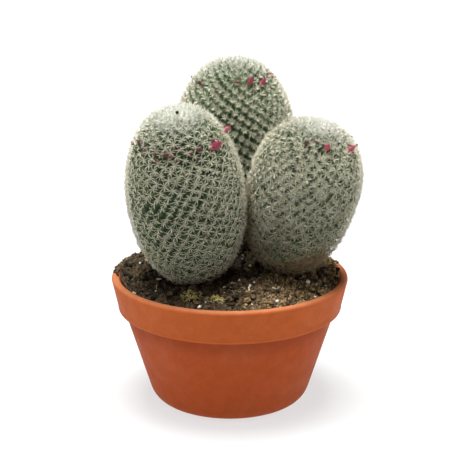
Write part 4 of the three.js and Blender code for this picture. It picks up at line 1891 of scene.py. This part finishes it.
@dataclass
class Studio:
    """The camera at the photograph's angle, a pale floor and soft light from above.

    Each lamp is given by its name, its place, where it points, the length of its side and its power in watts.
    """

    distance: float = 700.0
    elevation: float = 16.4
    target: float = 90.1
    image: float = 450.0
    focal_pixels: float = 1400.5
    sensor: float = 36.0
    sideways: float = 4.8
    floor_radius: float = 6000.0
    floor_sides: int = 96
    surroundings: Colour = (1.0, 1.0, 1.0, 1.0)
    surround_strength: float = 0.1
    lamps: tuple = (("overhead", (-100, 0, 2200), (0, 0, 0), 1100, 101),
                    ("left_panel", (-1200, -60, 600), (0, 0, 90), 900, 3.5),
                    ("right_panel", (1200, -60, 600), (0, 0, 90), 900, 3.8),
                    ("front", (-350, -800, 1400), (0, 0, 90), 500, 4))

    def camera(self) -> None:
        """Sets the camera, a little to the left so that the pot stands right of the middle."""
        data = bpy.data.cameras.new("camera")
        data.sensor_width = self.sensor
        data.lens = self.focal_pixels / self.image * self.sensor
        camera = bpy.data.objects.new("camera", data)
        angle = math.radians(self.elevation)
        aside = -self.sideways / self.focal_pixels * self.distance
        height = self.target + self.distance * math.sin(angle)
        camera.location = Vector((aside, -self.distance * math.cos(angle), height)) * MM
        camera.rotation_euler = (math.pi / 2 - angle, 0, 0)
        bpy.context.scene.collection.objects.link(camera)
        bpy.context.scene.camera = camera

    def floor(self) -> None:
        """Lays the floor as a wide disc."""
        edge = revolve(np.array([self.floor_radius]), np.zeros(1), self.floor_sides)
        mesh = bpy.data.meshes.new("floor")
        mesh.from_pydata((edge * MM).tolist(), [], [tuple(range(self.floor_sides))])
        mesh.materials.append(FloorFinish().make())
        floor = bpy.data.objects.new("floor", mesh)
        bpy.context.scene.collection.objects.link(floor)

    def lamp(self, name: str, place: tuple, target: tuple, size: float, power: float) -> None:
        """Hangs a square soft light.

        Args:
            name: Its name.
            place: Where it hangs.
            target: Where it points.
            size: The length of its side.
            power: Its power in watts.
        """
        data = bpy.data.lights.new(name, "AREA")
        data.size = size * MM
        data.energy = power
        lamp = bpy.data.objects.new(name, data)
        lamp.location = Vector(place) * MM
        aim = Vector(target) * MM - lamp.location
        lamp.rotation_euler = aim.to_track_quat("-Z", "Y").to_euler()
        bpy.context.scene.collection.objects.link(lamp)

    def light(self) -> None:
        """Sets the white surroundings, the soft lights and plain display colours."""
        world = bpy.data.worlds.new("surroundings")
        bpy.context.scene.world = world
        world.use_nodes = True
        background = world.node_tree.nodes["Background"]
        background.inputs["Color"].default_value = self.surroundings
        background.inputs["Strength"].default_value = self.surround_strength
        for lamp in self.lamps:
            self.lamp(*lamp)
        settings = bpy.context.scene.view_settings
        settings.view_transform = "Standard"
        settings.look = "None"


# Each stem's middle, radius, height above and below the middle, and lean along X and Y in degrees.
EGGS = {
    "left": Egg((-21.2, -21.9, 111.4), 29.2, 45.3, 46.3, (-6.2, -8)),
    "right": Egg((36.4, -11.8, 114.8), 27.9, 32.9, 48.4, (14.1, -5)),
    "back": Egg((3.2, 42, 126.1), 31.4, 41.9, 63.4, (-3.4, 7)),
}
# Each flower's turn in degrees, height over the stem's widest level, and kind.
RINGS = {
    "left": ((-40.6, 29.3, BloomKind.BUD), (12.4, 29.1, BloomKind.SMALL_BUD), (-102.8, 30, BloomKind.SPENT),
             (-61.8, 30.3, BloomKind.SPENT), (-73.6, 29.2, BloomKind.SPENT), (-149.9, 33.4, BloomKind.SPENT),
             (68, 28.5, BloomKind.SMALL_BUD), (131, 29, BloomKind.SPENT)),
    "right": ((-80.2, 25.6, BloomKind.SMALL_BUD), (-33.2, 25.5, BloomKind.SMALL_BUD),
              (-110, 25.3, BloomKind.SPENT), (47, 24.5, BloomKind.SPENT), (122, 24.5, BloomKind.SMALL_BUD)),
    "back": ((-67.3, 29.3, BloomKind.SMALL_BUD), (-49.8, 28.3, BloomKind.SMALL_BUD),
             (-136.3, 29.6, BloomKind.SPENT), (35, 28, BloomKind.SMALL_BUD), (110, 28.5, BloomKind.SPENT)),
}
# How each stem differs from a usual one.
GROWTH = {
    "left": dict(spacing=4.15, skew=0.015, crown_fade=0.5, tuft=3.0, felt_reach=24, scraps=36, bareness=0.8),
    "right": dict(spacing=4.05, jitter=0.075, crown_fade=0.6, tuft=3.0, radials=14, spine_radius=0.104,
                  level=0.1, white_reach=26, felt=0.85, scraps=20, cork_rise=8.0, low_age_and_shade=1.0),
    "back": dict(spacing=4.35, hand=-1, twins=2, jitter=0.025, crown_fade=0.5, crown_lift=14, tuft=29,
                 radials=15, spine_rise=2.3, spine_length=2.97, spine_radius=0.124, level=0.0, whisker=4.4,
                 white_reach=34, felt=0.45, hairs=200),
}


def make_stems() -> list[Stem]:
    """Places the three stems with their rings of flowers.

    Returns:
        The stems, not yet built.
    """
    stems = []
    for seed, (name, egg) in enumerate(EGGS.items()):
        blooms = [Bloom(f"bloom_{name}_{n}", egg, kind, turn, height)
                  for n, (turn, height, kind) in enumerate(RINGS[name], 1)]
        others = [other for key, other in EGGS.items() if key != name]
        stems.append(Stem(name, egg, 7 * seed + 3, ring_height=blooms[0].height, others=others, blooms=blooms,
                          **GROWTH[name]))
    return stems


def build_bed(pot: Pot, stems: list[Stem]) -> None:
    """Builds the mix and all that lies on it.

    Args:
        pot: The pot that holds it.
        stems: The stems that stand in it.
    """
    bed = Bed(pot, stems)
    mix_finish = MixFinish().make()
    bed.ground(mix_finish)
    bed.crumbs(mix_finish)
    bed.grains(PlainFinish("perlite", srgb(236, 232, 220), srgb(186, 178, 158), roughness=0.9).make())
    bed.fibres(PlainFinish("dry_root", srgb(246, 240, 216), srgb(196, 178, 140)).make())
    bed.moss_tufts(PlainFinish("moss", srgb(204, 184, 118), srgb(92, 90, 40), patch=2.6).make())


def build_stems(stems: list[Stem]) -> None:
    """Builds the stems and their flowers. The back stem's skin is paler.

    Args:
        stems: The stems.
    """
    front_flesh = FleshFinish().make()
    pale_flesh = FleshFinish("pale_flesh", srgb(50, 70, 46), srgb(118, 136, 102)).make()
    spine_finish = SpineFinish().make()
    petals = {
        "fresh": PetalFinish("fresh_petals", srgb(232, 134, 134), srgb(150, 6, 76)).make(),
        "spent": PetalFinish("spent_petals", srgb(124, 60, 50), srgb(88, 10, 28), dry=0.8).make(),
    }
    for stem in stems:
        areoles = stem.areoles()
        LOG.info("stem %s: %d areoles", stem.name, len(areoles.points))
        stem.flesh(areoles, pale_flesh if stem.name == "back" else front_flesh)
        stem.spines(areoles, spine_finish)
        stem.remains(petals["spent"])
        for n, bloom in enumerate(stem.blooms):
            bloom.build(petals[bloom.kind.finish], stem.seed * 100 + n)


def main() -> None:
    """Builds the pot, the mix, the stems and their flowers, then the studio."""
    logging.basicConfig(level=logging.INFO, format="%(name)s: %(message)s")
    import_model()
    pot = Pot()
    stems = make_stems()
    pot.build(ClayFinish().make())
    build_bed(pot, stems)
    build_stems(stems)
    studio = Studio()
    studio.camera()
    studio.floor()
    studio.light()


if __name__ == "__main__":
    main()
